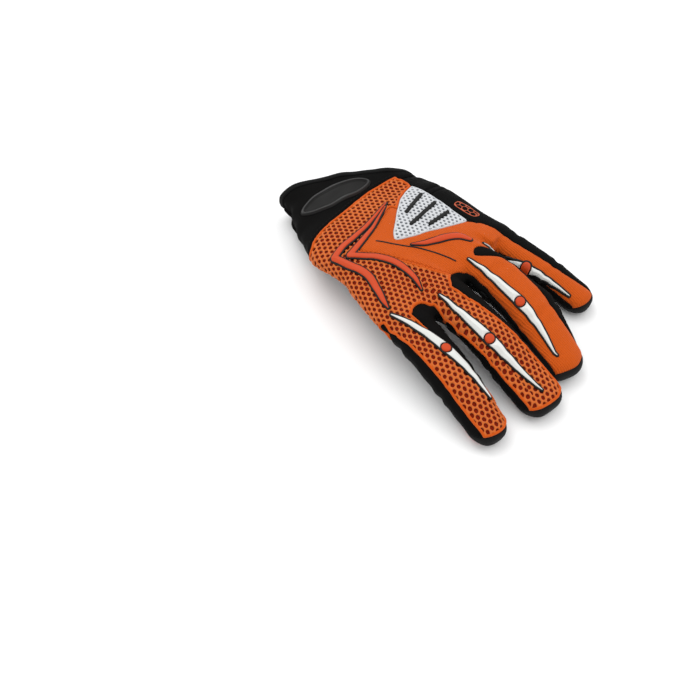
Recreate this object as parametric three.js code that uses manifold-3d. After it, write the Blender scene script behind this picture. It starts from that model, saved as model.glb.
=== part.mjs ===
// Left-hand motocross glove lying palm down with its thumb folded under the palm.
// Millimetres, +Z up, +Y from the cuff to the fingertips, +X to the index finger's side.
import * as THREE from "three";
import { mergeVertices } from "three/addons/utils/BufferGeometryUtils.js";
import Module from "manifold-3d";

const wasm = await Module();
wasm.setup();

// Driving sizes
const wall = 2;
const gap = 0.3;
const strapThickness = 1.5;
const tabThickness = 1.2;
const hand = { length: 160, width: 120, height: 27, rise: 27, wrist: -38 };
const cuffFloor = tabThickness + strapThickness + 2 * gap;
const bindingWidth = 4;
const bindingThickness = 0.7;
const ribThickness = 2.2;
const badgeThickness = 1;
const badgeRimThickness = 0.9;
const badgeRimWidth = 1.6;
const boneBaseThickness = 0.6;
const boneThickness = 1.2;
const dotThickness = 1.6;
const dotRadius = 3.7;
const boneHalfWidth = 2.9;
const boneTipHalfWidth = 0.5;
const boneBorder = 0.9;
const tallest = 60;
const mergeDistance = 1e-3;
const smallestStep = 0.1;

// Cross-sections from the wrist forwards: at is a share of the hand's length, shift and width
// are shares of its width, lift is a share of its rise and height a share of its height.
const handSections = [
  { at: 0.0, shift: 0.01, width: 0.6, lift: 0.6, height: 1.05, roll: 0 },
  { at: 0.12, shift: 0.022, width: 0.66, lift: 0.6, height: 1.05, roll: 0 },
  { at: 0.24, shift: 0.04, width: 0.745, lift: 0.6, height: 1.05, roll: 0 },
  { at: 0.36, shift: 0.075, width: 0.85, lift: 0.615, height: 1.03, roll: 0 },
  { at: 0.47, shift: 0.095, width: 0.92, lift: 0.73, height: 0.99, roll: 2 },
  { at: 0.58, shift: 0.097, width: 0.93, lift: 0.9, height: 0.93, roll: 3 },
  { at: 0.7, shift: 0.097, width: 0.945, lift: 0.96, height: 0.88, roll: 4 },
  { at: 0.82, shift: 0.115, width: 1.0, lift: 0.96, height: 0.87, roll: 4 },
  { at: 0.92, shift: 0.12, width: 1.04, lift: 0.93, height: 0.82, roll: 3 },
  { at: 0.98, shift: 0.115, width: 1.0, lift: 0.9, height: 0.62, roll: 3 },
  { at: 1.0, shift: 0.11, width: 0.95, lift: 0.88, height: 0.4, roll: 3 },
];

// Each finger's root lies at shares of the hand's width and length; lift and tipLift are heights
// of its centre line, width and tipWidth are its widths at the root and the tip, and bend bows it
// sideways.
const fingers = {
  index: {
    across: 0.464, along: 0.788, lift: 27, tipLift: 7.4,
    heading: 8.6, bend: 0, length: 126, width: 31, tipWidth: 27, height: 21,
  },
  middle: {
    across: 0.242, along: 0.8, lift: 28.5, tipLift: 7.4,
    heading: 2.2, bend: -1.5, length: 131, width: 31, tipWidth: 31, height: 21,
  },
  ring: {
    across: 0, along: 0.788, lift: 27, tipLift: 7.4,
    heading: 1.8, bend: -11, length: 124, width: 33, tipWidth: 32, height: 21,
  },
  little: {
    across: -0.275, along: 0.763, lift: 20.5, tipLift: 6.9,
    heading: -8, bend: 0, length: 99, width: 23, tipWidth: 23, height: 19,
  },
};
const fingerSections = [
  { at: 0.0, width: 1, height: 1, drop: 0, sway: 0 },
  { at: 0.15, width: 1, height: 1, drop: 0.02, sway: 0.5 },
  { at: 0.3, width: 1, height: 0.98, drop: 0.07, sway: 0.9 },
  { at: 0.45, width: 1, height: 0.95, drop: 0.18, sway: 1 },
  { at: 0.6, width: 1, height: 0.92, drop: 0.36, sway: 0.9 },
  { at: 0.74, width: 1, height: 0.89, drop: 0.62, sway: 0.5 },
  { at: 0.87, width: 1, height: 0.85, drop: 0.9, sway: 0 },
];
const thumb = {
  across: 0.35, along: 0.413, lift: 15, tipLift: 6,
  heading: -30, bend: 0, length: 96, width: 36, tipWidth: 36, height: 12,
};
const thumbSections = [
  { at: 0.0, width: 0.9, height: 1.2, drop: 0, sway: 0 },
  { at: 0.15, width: 0.95, height: 1.1, drop: 0.3, sway: 0 },
  { at: 0.3, width: 1, height: 1, drop: 0.75, sway: 0 },
  { at: 0.45, width: 1, height: 1, drop: 1, sway: 0 },
  { at: 0.6, width: 0.98, height: 1, drop: 1, sway: 0 },
  { at: 0.74, width: 0.92, height: 1, drop: 1, sway: 0 },
  { at: 0.85, width: 0.84, height: 1, drop: 1, sway: 0 },
];
const tipAngles = [38, 68];

// How far the covering of each finger's back reaches to its thumb side and to its little side,
// as shares of the finger's width.
const strips = {
  index: [
    { at: 0.1, thumbSide: 0.54, littleSide: 0.04 },
    { at: 0.26, thumbSide: 0.5, littleSide: -0.02 },
    { at: 0.38, thumbSide: 0.42, littleSide: -0.1 },
    { at: 0.51, thumbSide: 0.38, littleSide: -0.2 },
    { at: 0.66, thumbSide: 0.34, littleSide: -0.31 },
    { at: 0.82, thumbSide: 0.32, littleSide: -0.42 },
    { at: 1.1, thumbSide: 0.24, littleSide: -0.54 },
  ],
  middle: [
    { at: 0.1, thumbSide: 0.46, littleSide: -0.09 },
    { at: 0.28, thumbSide: 0.46, littleSide: -0.09 },
    { at: 0.42, thumbSide: 0.47, littleSide: -0.23 },
    { at: 0.54, thumbSide: 0.47, littleSide: -0.31 },
    { at: 0.67, thumbSide: 0.46, littleSide: -0.37 },
    { at: 0.8, thumbSide: 0.46, littleSide: -0.41 },
    { at: 1.1, thumbSide: 0.45, littleSide: -0.43 },
  ],
  ring: [
    { at: 0.1, thumbSide: 0.43, littleSide: 0.13 },
    { at: 0.25, thumbSide: 0.46, littleSide: 0.16 },
    { at: 0.34, thumbSide: 0.46, littleSide: -0.1 },
    { at: 0.42, thumbSide: 0.48, littleSide: -0.16 },
    { at: 0.54, thumbSide: 0.49, littleSide: -0.21 },
    { at: 0.67, thumbSide: 0.47, littleSide: -0.27 },
    { at: 1.1, thumbSide: 0.42, littleSide: -0.39 },
  ],
  little: [
    { at: 0.1, thumbSide: 0.46, littleSide: 0.1 },
    { at: 0.26, thumbSide: 0.46, littleSide: 0.0 },
    { at: 0.42, thumbSide: 0.46, littleSide: 0.0 },
    { at: 0.57, thumbSide: 0.46, littleSide: -0.05 },
    { at: 0.72, thumbSide: 0.46, littleSide: -0.1 },
    { at: 0.85, thumbSide: 0.46, littleSide: -0.22 },
    { at: 1.1, thumbSide: 0.45, littleSide: -0.4 },
  ],
};

// Spines of the bones: across is a share of the finger's width towards the thumb.
const bones = {
  index: {
    dot: 0.514,
    spine: [
      { at: 0.21, across: 0.3 },
      { at: 0.38, across: 0.03 },
      { at: 0.514, across: -0.135 },
      { at: 0.666, across: -0.25 },
      { at: 0.82, across: -0.3 },
    ],
  },
  middle: {
    dot: 0.578,
    spine: [
      { at: 0.258, across: 0.25 },
      { at: 0.418, across: 0.22 },
      { at: 0.578, across: 0.195 },
      { at: 0.738, across: 0.13 },
      { at: 0.908, across: 0.02 },
    ],
  },
  ring: {
    dot: 0.564,
    spine: [
      { at: 0.218, across: 0.24 },
      { at: 0.398, across: 0.262 },
      { at: 0.564, across: 0.24 },
      { at: 0.728, across: 0.165 },
      { at: 0.888, across: 0.116 },
    ],
  },
  little: {
    dot: 0.548,
    spine: [
      { at: 0.258, across: 0.635 },
      { at: 0.418, across: 0.445 },
      { at: 0.548, across: 0.375 },
      { at: 0.688, across: 0.365 },
      { at: 0.868, across: 0.335 },
    ],
  },
};

// Outlines on the hand: across is a share of its width, along a share of its length.
const outlines = {
  cuffEdge: [
    { across: 0.342, along: 0.081 },
    { across: 0.18, along: 0.142 },
    { across: 0.008, along: 0.216 },
    { across: -0.17, along: 0.298 },
    { across: -0.35, along: 0.381 },
  ],
  cuffSeam: [
    { across: 0.7, along: 0.5 },
    { across: 0.533, along: 0.438 },
    { across: 0.475, along: 0.413 },
    { across: 0.41, along: 0.4 },
    { across: 0.325, along: 0.394 },
    { across: 0.208, along: 0.39 },
    { across: 0.067, along: 0.378 },
    { across: -0.05, along: 0.375 },
    { across: -0.2, along: 0.381 },
    { across: -0.225, along: 0.412 },
    { across: -0.5, along: 0.444 },
  ],
  white: [
    { across: -0.21, along: 0.478 },
    { across: -0.133, along: 0.494 },
    { across: -0.067, along: 0.513 },
    { across: 0.008, along: 0.55 },
    { across: 0.15, along: 0.637 },
    { across: 0.183, along: 0.669 },
    { across: 0.175, along: 0.694 },
    { across: 0.125, along: 0.713 },
    { across: 0.008, along: 0.744 },
    { across: -0.108, along: 0.769 },
    { across: -0.217, along: 0.8 },
    { across: -0.22, along: 0.65 },
  ],
  knit: [
    { across: 0.033, along: 0.555 },
    { across: 0.235, along: 0.606 },
    { across: 0.25, along: 0.7 },
    { across: 0.2, along: 0.806 },
    { across: 0.158, along: 0.894 },
    { across: 0.147, along: 0.957 },
    { across: 0.108, along: 0.963 },
    { across: 0.06, along: 0.99 },
    { across: -0.02, along: 0.985 },
    { across: -0.045, along: 0.944 },
    { across: -0.083, along: 0.928 },
    { across: -0.13, along: 0.944 },
    { across: -0.19, along: 0.99 },
    { across: -0.308, along: 0.925 },
    { across: -0.27, along: 0.856 },
    { across: -0.217, along: 0.8 },
    { across: 0.0, along: 0.7 },
  ],
  mesh: [
    { across: 0.75, along: 0.3 },
    { across: -0.215, along: 0.3 },
    { across: -0.212, along: 0.48 },
    { across: 0.033, along: 0.6 },
    { across: 0.2, along: 0.7 },
    { across: 0.12, along: 0.9 },
    { across: 0.147, along: 0.962 },
    { across: 0.18, along: 0.975 },
    { across: 0.22, along: 1.02 },
    { across: 0.375, along: 1.02 },
    { across: 0.4, along: 0.985 },
    { across: 0.433, along: 0.975 },
    { across: 0.47, along: 0.98 },
    { across: 0.5, along: 1.0 },
    { across: 0.61, along: 0.97 },
    { across: 0.66, along: 0.9 },
    { across: 0.75, along: 0.84 },
  ],
};

// Moulded ribs on the back: half is the half-width at each point of an arm.
const ribs = {
  chevron_outer: [
    [
      { across: 0.038, along: 0.504, half: 0.8 },
      { across: 0.291, along: 0.531, half: 2.6 },
      { across: 0.533, along: 0.536, half: 2.9 },
    ],
    [
      { across: 0.516, along: 0.521, half: 2.9 },
      { across: 0.508, along: 0.625, half: 2.9 },
      { across: 0.483, along: 0.694, half: 2.7 },
      { across: 0.475, along: 0.737, half: 2.6 },
      { across: 0.5, along: 0.781, half: 2.4 },
      { across: 0.533, along: 0.843, half: 1.9 },
      { across: 0.566, along: 0.9, half: 0.9 },
    ],
  ],
  chevron_inner: [
    [
      { across: 0.088, along: 0.539, half: 0.8 },
      { across: 0.175, along: 0.554, half: 1.6 },
      { across: 0.325, along: 0.581, half: 2.2 },
      { across: 0.448, along: 0.6, half: 2.6 },
    ],
    [
      { across: 0.448, along: 0.591, half: 2.6 },
      { across: 0.383, along: 0.643, half: 2.7 },
      { across: 0.325, along: 0.712, half: 2.5 },
      { across: 0.305, along: 0.756, half: 2.3 },
      { across: 0.291, along: 0.806, half: 2.1 },
      { across: 0.3, along: 0.85, half: 1.8 },
      { across: 0.333, along: 0.931, half: 0.9 },
    ],
  ],
  accent_bar: [
    [
      { across: 0.125, along: 0.75, half: 0.7 },
      { across: 0.066, along: 0.787, half: 1.6 },
      { across: 0.016, along: 0.806, half: 2.2 },
      { across: -0.059, along: 0.831, half: 2.6 },
      { across: -0.1, along: 0.862, half: 2.6 },
      { across: -0.109, along: 0.887, half: 1.9 },
    ],
  ],
};
const panelBars = [
  { from: { across: -0.17, along: 0.56 }, to: { across: 0.0, along: 0.6 } },
  { from: { across: -0.175, along: 0.635 }, to: { across: 0.05, along: 0.665 } },
  { from: { across: -0.175, along: 0.71 }, to: { across: -0.03, along: 0.715 } },
];
const panelBarHalfWidth = 2.3;
const panelBarThickness = 1.2;
const sidePanelLead = 10;
const inlays = {
  thumb_knit: {
    digit: thumb, sections: thumbSections,
    from: 0.22, to: 0.46, half: 0.32, top: 8.5, colour: "knit",
  },
  thumb_patch: {
    digit: thumb, sections: thumbSections,
    from: 0.52, to: 0.88, half: 0.28, top: 4.2, colour: "knit",
  },
  fingertip_grip_index: {
    digit: fingers.index, sections: fingerSections,
    from: 0.8, to: 0.96, half: 0.32, top: 6, colour: "rubber",
  },
  fingertip_grip_middle: {
    digit: fingers.middle, sections: fingerSections,
    from: 0.8, to: 0.96, half: 0.32, top: 6, colour: "rubber",
  },
};
const badge = { across: 0.154, along: 0.297, halfLength: 27, halfWidth: 8.5, turn: -12.8 };
const strap = { inset: 17, halfWidth: 12, top: 13 };
const tab = { offset: -11, halfLength: 28, halfWidth: 8, corner: 4 };

const colours = {
  black: { color: 0x141412, roughness: 0.8 },
  palmBlack: { color: 0x1b1b1b, roughness: 0.85 },
  mesh: { color: 0xcd6932, roughness: 0.85 },
  knit: { color: 0xeb6e19, roughness: 0.8 },
  rubber: { color: 0xe15537, roughness: 0.45 },
  white: { color: 0xd7dce6, roughness: 0.6 },
  bone: { color: 0xe1e4dc, roughness: 0.4 },
  badge: { color: 0x3c3c3c, roughness: 0.5 },
};

// Points, outlines and skins
function onHand({ across, along }) {
  return new THREE.Vector2(across * hand.width, hand.wrist + along * hand.length);
}

function smooth(points, steps = 3) {
  return new THREE.SplineCurve(points).getPoints((points.length - 1) * steps);
}

function grown(points, amount) {
  const sign = THREE.ShapeUtils.area(points) > 0 ? 1 : -1;
  return points.map((point, i) => {
    const before = points[(i + points.length - 1) % points.length];
    const after = points[(i + 1) % points.length];
    const first = point.clone().sub(before).normalize();
    const second = after.clone().sub(point).normalize();
    const mean = first.clone().add(second).normalize();
    const stretch = Math.min(1 / Math.max(mean.dot(first), 0.5), 2);
    return new THREE.Vector2(mean.y, -mean.x).multiplyScalar(sign * amount * stretch).add(point);
  });
}

function prism(points, amount = 0, bottom = -tallest, top = tallest * 2) {
  const shape = new THREE.Shape(grown(points, amount));
  const geometry = new THREE.ExtrudeGeometry(shape, { depth: top - bottom, bevelEnabled: false });
  return solidOf(geometry.translate(0, 0, bottom));
}

function solidOf(geometry) {
  const bare = new THREE.BufferGeometry();
  bare.setAttribute("position", geometry.getAttribute("position"));
  if (geometry.index) bare.setIndex(geometry.index);
  const merged = mergeVertices(bare, mergeDistance);
  return new wasm.Manifold(
    new wasm.Mesh({
      numProp: 3,
      vertProperties: merged.attributes.position.array,
      triVerts: new Uint32Array(merged.index.array),
    }),
  );
}

function geometryOf(solid) {
  const mesh = solid.getMesh();
  return new THREE.BufferGeometry()
    .setAttribute("position", new THREE.BufferAttribute(new Float32Array(mesh.vertProperties), 3))
    .setIndex(new THREE.BufferAttribute(mesh.triVerts, 1));
}

function joined(solids) {
  return solids.reduce((all, one) => all.add(one));
}

function mainBody(solid) {
  const bodies = solid.decompose();
  return bodies.reduce((best, one) => (one.volume() > best.volume() ? one : best), bodies[0]);
}

function skin(rings) {
  const sides = rings[0].length;
  const points = rings.flat();
  const triangles = [];
  for (let i = 0; i < rings.length - 1; i++) {
    for (let k = 0; k < sides; k++) {
      const a = i * sides + k;
      const b = i * sides + ((k + 1) % sides);
      triangles.push(a, a + sides, b, b, a + sides, b + sides);
    }
  }
  const middle = (ring) =>
    ring.reduce((sum, p) => sum.add(p), new THREE.Vector3()).divideScalar(sides);
  const start = points.length;
  points.push(middle(rings[0]), middle(rings.at(-1)));
  const last = (rings.length - 1) * sides;
  for (let k = 0; k < sides; k++) {
    const next = (k + 1) % sides;
    triangles.push(start, k, next, start + 1, last + next, last + k);
  }
  return solidOf(new THREE.BufferGeometry().setFromPoints(points).setIndex(triangles));
}

// Centre lines with a frame at each section
function framed(rows) {
  return rows.map((row, i) => {
    const before = rows[Math.max(i - 1, 0)].centre;
    const after = rows[Math.min(i + 1, rows.length - 1)].centre;
    const along = after.clone().sub(before).normalize();
    const level = new THREE.Vector3(along.y, -along.x, 0).normalize();
    const upright = new THREE.Vector3().crossVectors(level, along).normalize();
    const roll = THREE.MathUtils.degToRad(row.roll);
    const side = level.clone().multiplyScalar(Math.cos(roll)).addScaledVector(upright, Math.sin(roll));
    const up = upright.clone().multiplyScalar(Math.cos(roll)).addScaledVector(level, -Math.sin(roll));
    return { ...row, side, up };
  });
}

function handRows() {
  return handSections.map((row) => ({
    centre: new THREE.Vector3(
      row.shift * hand.width,
      hand.wrist + row.at * hand.length,
      row.lift * hand.rise,
    ),
    width: row.width * hand.width,
    height: row.height * hand.height,
    roll: row.roll,
  }));
}

function digitPoint(digit, sections, at, across) {
  const heading = THREE.MathUtils.degToRad(digit.heading);
  const forward = new THREE.Vector2(Math.sin(heading), Math.cos(heading));
  const side = new THREE.Vector2(forward.y, -forward.x);
  const next = sections.findIndex((row) => row.at > at);
  const after = next < 0 ? sections.length - 1 : Math.max(next, 1);
  const a = sections[after - 1];
  const b = sections[after];
  const t = THREE.MathUtils.clamp((at - a.at) / (b.at - a.at), 0, 1);
  const sway = THREE.MathUtils.lerp(a.sway, b.sway, t) * digit.bend;
  return onHand(digit)
    .addScaledVector(forward, at * digit.length)
    .addScaledVector(side, sway + across * digit.width);
}

function digitRows(digit, sections, amount) {
  const rows = sections.map((row) => {
    const plan = digitPoint(digit, sections, row.at, 0);
    const height = THREE.MathUtils.lerp(digit.lift, digit.tipLift, row.drop);
    return {
      centre: new THREE.Vector3(plan.x, plan.y, height),
      width: row.width * THREE.MathUtils.lerp(digit.width, digit.tipWidth, row.drop),
      height: row.height * digit.height,
      roll: 0,
    };
  });
  const last = rows.at(-1);
  const forward = last.centre.clone().sub(rows.at(-2).centre).normalize();
  forward.z *= 0.55;
  const reach = (1 - sections.at(-1).at) * digit.length + amount;
  for (const angle of tipAngles) {
    const turn = THREE.MathUtils.degToRad(angle);
    const taper = Math.cos(turn) ** 0.8;
    rows.push({
      centre: last.centre.clone().addScaledVector(forward, reach * Math.sin(turn)),
      width: Math.max((last.width + 2 * amount) * taper - 2 * amount, 1),
      height: Math.max((last.height + 2 * amount) * taper - 2 * amount, 1),
      roll: 0,
    });
  }
  return rows;
}

function tube(rows, { sides, amount, power, floor }) {
  const rings = framed(rows).map(({ centre, side, up, width, height }) =>
    Array.from({ length: sides }, (_, k) => {
      const angle = (2 * Math.PI * (k + 0.5)) / sides;
      const c = Math.cos(angle);
      const s = Math.sin(angle);
      const across = (width / 2 + amount) * Math.sign(c) * Math.abs(c) ** (2 / power);
      const rise = (height / 2 + amount) * Math.sign(s) * Math.abs(s) ** (2 / power);
      const point = centre.clone().addScaledVector(side, across).addScaledVector(up, rise);
      point.z = Math.max(point.z, floor - amount);
      return point;
    }),
  );
  return skin(rings);
}

const digits = [
  ...Object.values(fingers).map((digit) => ({ digit, sections: fingerSections })),
  { digit: thumb, sections: thumbSections },
];
const made = new Map();

function handTube(amount) {
  return tube(handRows(), { sides: 22, amount, power: 2.7, floor: cuffFloor });
}

function digitTube({ digit, sections }, amount) {
  return tube(digitRows(digit, sections, amount), { sides: 12, amount, power: 2.3, floor: 0 });
}

// The glove's whole outer form, moved outwards by an amount
function form(amount) {
  if (!made.has(amount)) {
    made.set(amount, joined([handTube(amount), ...digits.map((one) => digitTube(one, amount))]));
  }
  return made.get(amount);
}

// The space above the line where the back's coverings meet the palm
function roof() {
  const slab = (rows, thumbShare, littleShare, spread) => {
    const first = rows[0].centre.clone().sub(rows[1].centre).setLength(1);
    const last = rows.at(-1).centre.clone().sub(rows.at(-2).centre).setLength(1);
    const longer = [
      { ...rows[0], centre: rows[0].centre.clone().add(first) },
      ...rows.slice(1, -1),
      { ...rows.at(-1), centre: rows.at(-1).centre.clone().add(last) },
    ];
    const rings = framed(longer).map(({ centre, side, up, width, height }) => {
      const corner = (across, rise) =>
        centre
          .clone()
          .addScaledVector(side, across * (width / 2 + spread))
          .addScaledVector(up, rise);
      return [
        corner(1, thumbShare * height),
        corner(1, tallest / 2),
        corner(-1, tallest / 2),
        corner(-1, littleShare * height),
      ];
    });
    return skin(rings);
  };
  const fingerSlabs = Object.values(fingers).map((digit) => {
    const rows = digitRows(digit, fingerSections, 0).slice(0, -tipAngles.length);
    const step = rows.at(-1).centre.clone().sub(rows.at(-2).centre);
    rows.push({ ...rows.at(-1), centre: rows.at(-1).centre.clone().addScaledVector(step, 2) });
    return slab(rows, -0.04, -0.04, 0.4);
  });
  return joined([slab(handRows(), -0.34, -0.12, 8), ...fingerSlabs]);
}

function widened(solid) {
  const moves = [[0, 0, -gap], [0, gap, 0], [0, -gap, 0], [gap, 0, 0], [-gap, 0, 0]];
  return joined([solid, ...moves.map((move) => solid.translate(move))]);
}

// Regions seen from above
function cuffOutline(amount) {
  const seam = smooth(outlines.cuffSeam.map(onHand), 1);
  const near = [
    new THREE.Vector2(-hand.width, seam.at(-1).y),
    new THREE.Vector2(-hand.width, -hand.length),
  ];
  const far = [
    new THREE.Vector2(hand.width, -hand.length),
    new THREE.Vector2(hand.width, seam[0].y),
  ];
  return prism([...seam, ...near, ...far], amount);
}

function beyondCuffEdge(inset) {
  const edge = smooth(outlines.cuffEdge.map(onHand), 2);
  const first = edge[0].clone().sub(edge[1]).normalize();
  const last = edge.at(-1).clone().sub(edge.at(-2)).normalize();
  const reach = hand.width;
  const start = edge[0].clone().addScaledVector(first, reach);
  const end = edge.at(-1).clone().addScaledVector(last, reach);
  const back = [
    new THREE.Vector2(end.x - reach, start.y - reach),
    new THREE.Vector2(start.x, start.y - reach),
  ];
  return prism([start, ...edge, end, ...back], inset);
}

function strip(name, amount) {
  const digit = fingers[name];
  const edge = (key) => strips[name].map((row) => digitPoint(digit, fingerSections, row.at, row[key]));
  return prism([...edge("thumbSide"), ...edge("littleSide").reverse()], amount);
}

function whiteRegion(amount) {
  return prism(outlines.white.map(onHand), amount);
}

function knitRegion(amount) {
  return joined([prism(outlines.knit.map(onHand), amount), strip("ring", amount), strip("little", amount)]);
}

function meshRegion(amount) {
  return joined([prism(outlines.mesh.map(onHand), amount), strip("index", amount), strip("middle", amount)]);
}

function dividingLine(name) {
  const stations = [...fingerSections.map((row) => row.at), 1.2];
  return stations.map((at) => digitPoint(fingers[name], fingerSections, at, 0.25));
}

function ribbonOutline(points, halves) {
  const left = [];
  const right = [];
  points.forEach((point, i) => {
    const before = points[Math.max(i - 1, 0)];
    const after = points[Math.min(i + 1, points.length - 1)];
    const along = after.clone().sub(before).normalize();
    const normal = new THREE.Vector2(-along.y, along.x).multiplyScalar(halves[i]);
    left.push(point.clone().add(normal));
    right.push(point.clone().sub(normal));
  });
  return [...left, ...right.reverse()];
}

function circle(centre, radius, sides = 12) {
  return Array.from({ length: sides }, (_, k) => {
    const angle = (2 * Math.PI * k) / sides;
    return new THREE.Vector2(Math.cos(angle), Math.sin(angle)).multiplyScalar(radius).add(centre);
  });
}

// A plate that follows the glove's surface inside an outline
function plate(outlineSolid, base, thickness) {
  return mainBody(form(base + thickness).subtract(form(base)).intersect(outlineSolid).intersect(above));
}

const above = roof();
const aboveWithGap = widened(above);
const outer = form(0);
const inner = form(-wall);
const shell = outer.subtract(inner);
const cuffPrism = cuffOutline(gap / 2);
const handPrism = cuffOutline(-gap / 2);
const bodyShell = shell.subtract(cuffPrism);
const group = new THREE.Group();

function add(name, solid, colour, step = smallestStep) {
  const whole = mainBody(solidOf(geometryOf(mainBody(solid).simplify(step))));
  const mesh = new THREE.Mesh(geometryOf(whole), new THREE.MeshStandardMaterial(colours[colour]));
  mesh.name = name;
  group.add(mesh);
}

// Cuff with its binding, and the wrist strap and pull tab under it
function addCuff() {
  const cuffShell = shell.intersect(handPrism);
  add("cuff", mainBody(cuffShell.subtract(beyondCuffEdge(bindingWidth + gap))), "black");
  const band = form(bindingThickness).subtract(inner).subtract(beyondCuffEdge(0)).intersect(handPrism);
  add("cuff_binding", mainBody(band.intersect(beyondCuffEdge(bindingWidth))), "badge");
}

function addStrap() {
  const low = prism(circle(new THREE.Vector2(), 3 * hand.width, 4), 0, -tallest, strap.top);
  const farther = beyondCuffEdge(strap.inset + strap.halfWidth);
  const zone = farther.subtract(beyondCuffEdge(strap.inset - strap.halfWidth));
  const strapTop = gap + strapThickness;
  const band = form(strapTop).subtract(form(gap)).intersect(zone).intersect(low);
  add("wrist_strap", band, "black");
  const ends = [outlines.cuffEdge[0], outlines.cuffEdge.at(-1)].map(onHand);
  const along = ends[1].clone().sub(ends[0]).normalize();
  const inwards = new THREE.Vector2(along.y, -along.x);
  const centre = onHand(outlines.cuffEdge[2])
    .addScaledVector(inwards, strap.inset)
    .addScaledVector(along, tab.offset);
  const quarters = [[1, 1], [-1, 1], [-1, -1], [1, -1]];
  const corners = quarters.flatMap(([x, y], quarter) =>
    [0, 30, 60, 90].map((step) => {
      const angle = THREE.MathUtils.degToRad(quarter * 90 + step);
      return centre
        .clone()
        .addScaledVector(along, x * (tab.halfLength - tab.corner) + Math.cos(angle) * tab.corner)
        .addScaledVector(inwards, y * (tab.halfWidth - tab.corner) + Math.sin(angle) * tab.corner);
    }),
  );
  const tabTop = strapTop + gap + tabThickness;
  const pad = form(tabTop).subtract(form(strapTop + gap)).intersect(prism(corners)).intersect(low);
  add("strap_tab", pad, "black", mergeDistance);
}

// Inlays under the thumb and the fingertips, which follow the wall
function inlayPrism({ digit, sections, from, to, half, top }, amount) {
  const steps = [0, 0.12, 0.5, 0.88, 1];
  const shares = [0.55, 1, 1, 1, 0.55];
  const edge = (sign) =>
    steps.map((t, i) =>
      digitPoint(digit, sections, THREE.MathUtils.lerp(from, to, t), sign * half * shares[i]),
    );
  return prism([...edge(1), ...edge(-1).reverse()], amount, -tallest, top + amount);
}

function addPalm() {
  const thumbPart = { digit: thumb, sections: thumbSections };
  const lower = bodyShell.subtract(aboveWithGap);
  const thumbWall = lower.intersect(digitTube(thumbPart, 1));
  const palmWall = lower.subtract(digitTube(thumbPart, 1 + gap));
  const cut = (walls, names) =>
    names.reduce((rest, name) => rest.subtract(inlayPrism(inlays[name], gap)), walls);
  const grips = ["fingertip_grip_index", "fingertip_grip_middle"];
  add("palm_panel", cut(palmWall, grips), "palmBlack");
  add("thumb_shell", cut(thumbWall, ["thumb_knit", "thumb_patch"]), "palmBlack");
  for (const [name, inlay] of Object.entries(inlays)) {
    add(name, lower.intersect(inlayPrism(inlay, 0)), inlay.colour);
  }
}

function addBack() {
  const back = bodyShell.intersect(above);
  const white = whiteRegion(0);
  const whiteWide = whiteRegion(gap);
  const knit = knitRegion(0).subtract(whiteWide);
  const knitWide = knitRegion(gap);
  const mesh = meshRegion(0).subtract(whiteWide).subtract(knitWide);
  add("white_panel", mainBody(back.intersect(white)), "white");
  add("back_knit_panel", mainBody(back.intersect(knit)), "knit");
  add("back_mesh_panel", mainBody(back.intersect(mesh)), "mesh");
  const rest = back.subtract(whiteWide).subtract(knitWide).subtract(meshRegion(gap));
  const names = Object.keys(fingers);
  names.slice(0, -1).forEach((name, i) => {
    const next = names[i + 1];
    const outline = [...dividingLine(name), ...dividingLine(next).reverse()];
    add("fourchette_" + name + "_" + next, mainBody(rest.intersect(prism(outline))), "black");
  });
  const side = (name, edge, lead) => {
    const line = dividingLine(name);
    const outline = [
      ...line,
      new THREE.Vector2(edge, line.at(-1).y),
      new THREE.Vector2(edge, 0),
      new THREE.Vector2(line[0].x + lead, 0),
    ];
    add(name + "_side_panel", mainBody(rest.intersect(prism(outline))), "black");
  };
  side("index", hand.width, 0);
  side("little", -hand.width, sidePanelLead);
}

function addRibs() {
  for (const [name, arms] of Object.entries(ribs)) {
    const solids = arms.map((arm) => {
      const halves = arm.map((row) => row.half);
      return prism(ribbonOutline(arm.map(onHand), halves));
    });
    add(name, plate(joined(solids), gap, ribThickness), "rubber");
  }
  panelBars.forEach(({ from, to }, i) => {
    const a = onHand(from);
    const b = onHand(to);
    const points = [0, 0.12, 0.88, 1].map((t) => a.clone().lerp(b, t));
    const halves = [0.4, 1, 1, 0.4].map((share) => share * panelBarHalfWidth);
    add("panel_bar_" + (i + 1), plate(prism(ribbonOutline(points, halves)), gap, panelBarThickness), "black");
  });
}

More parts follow.
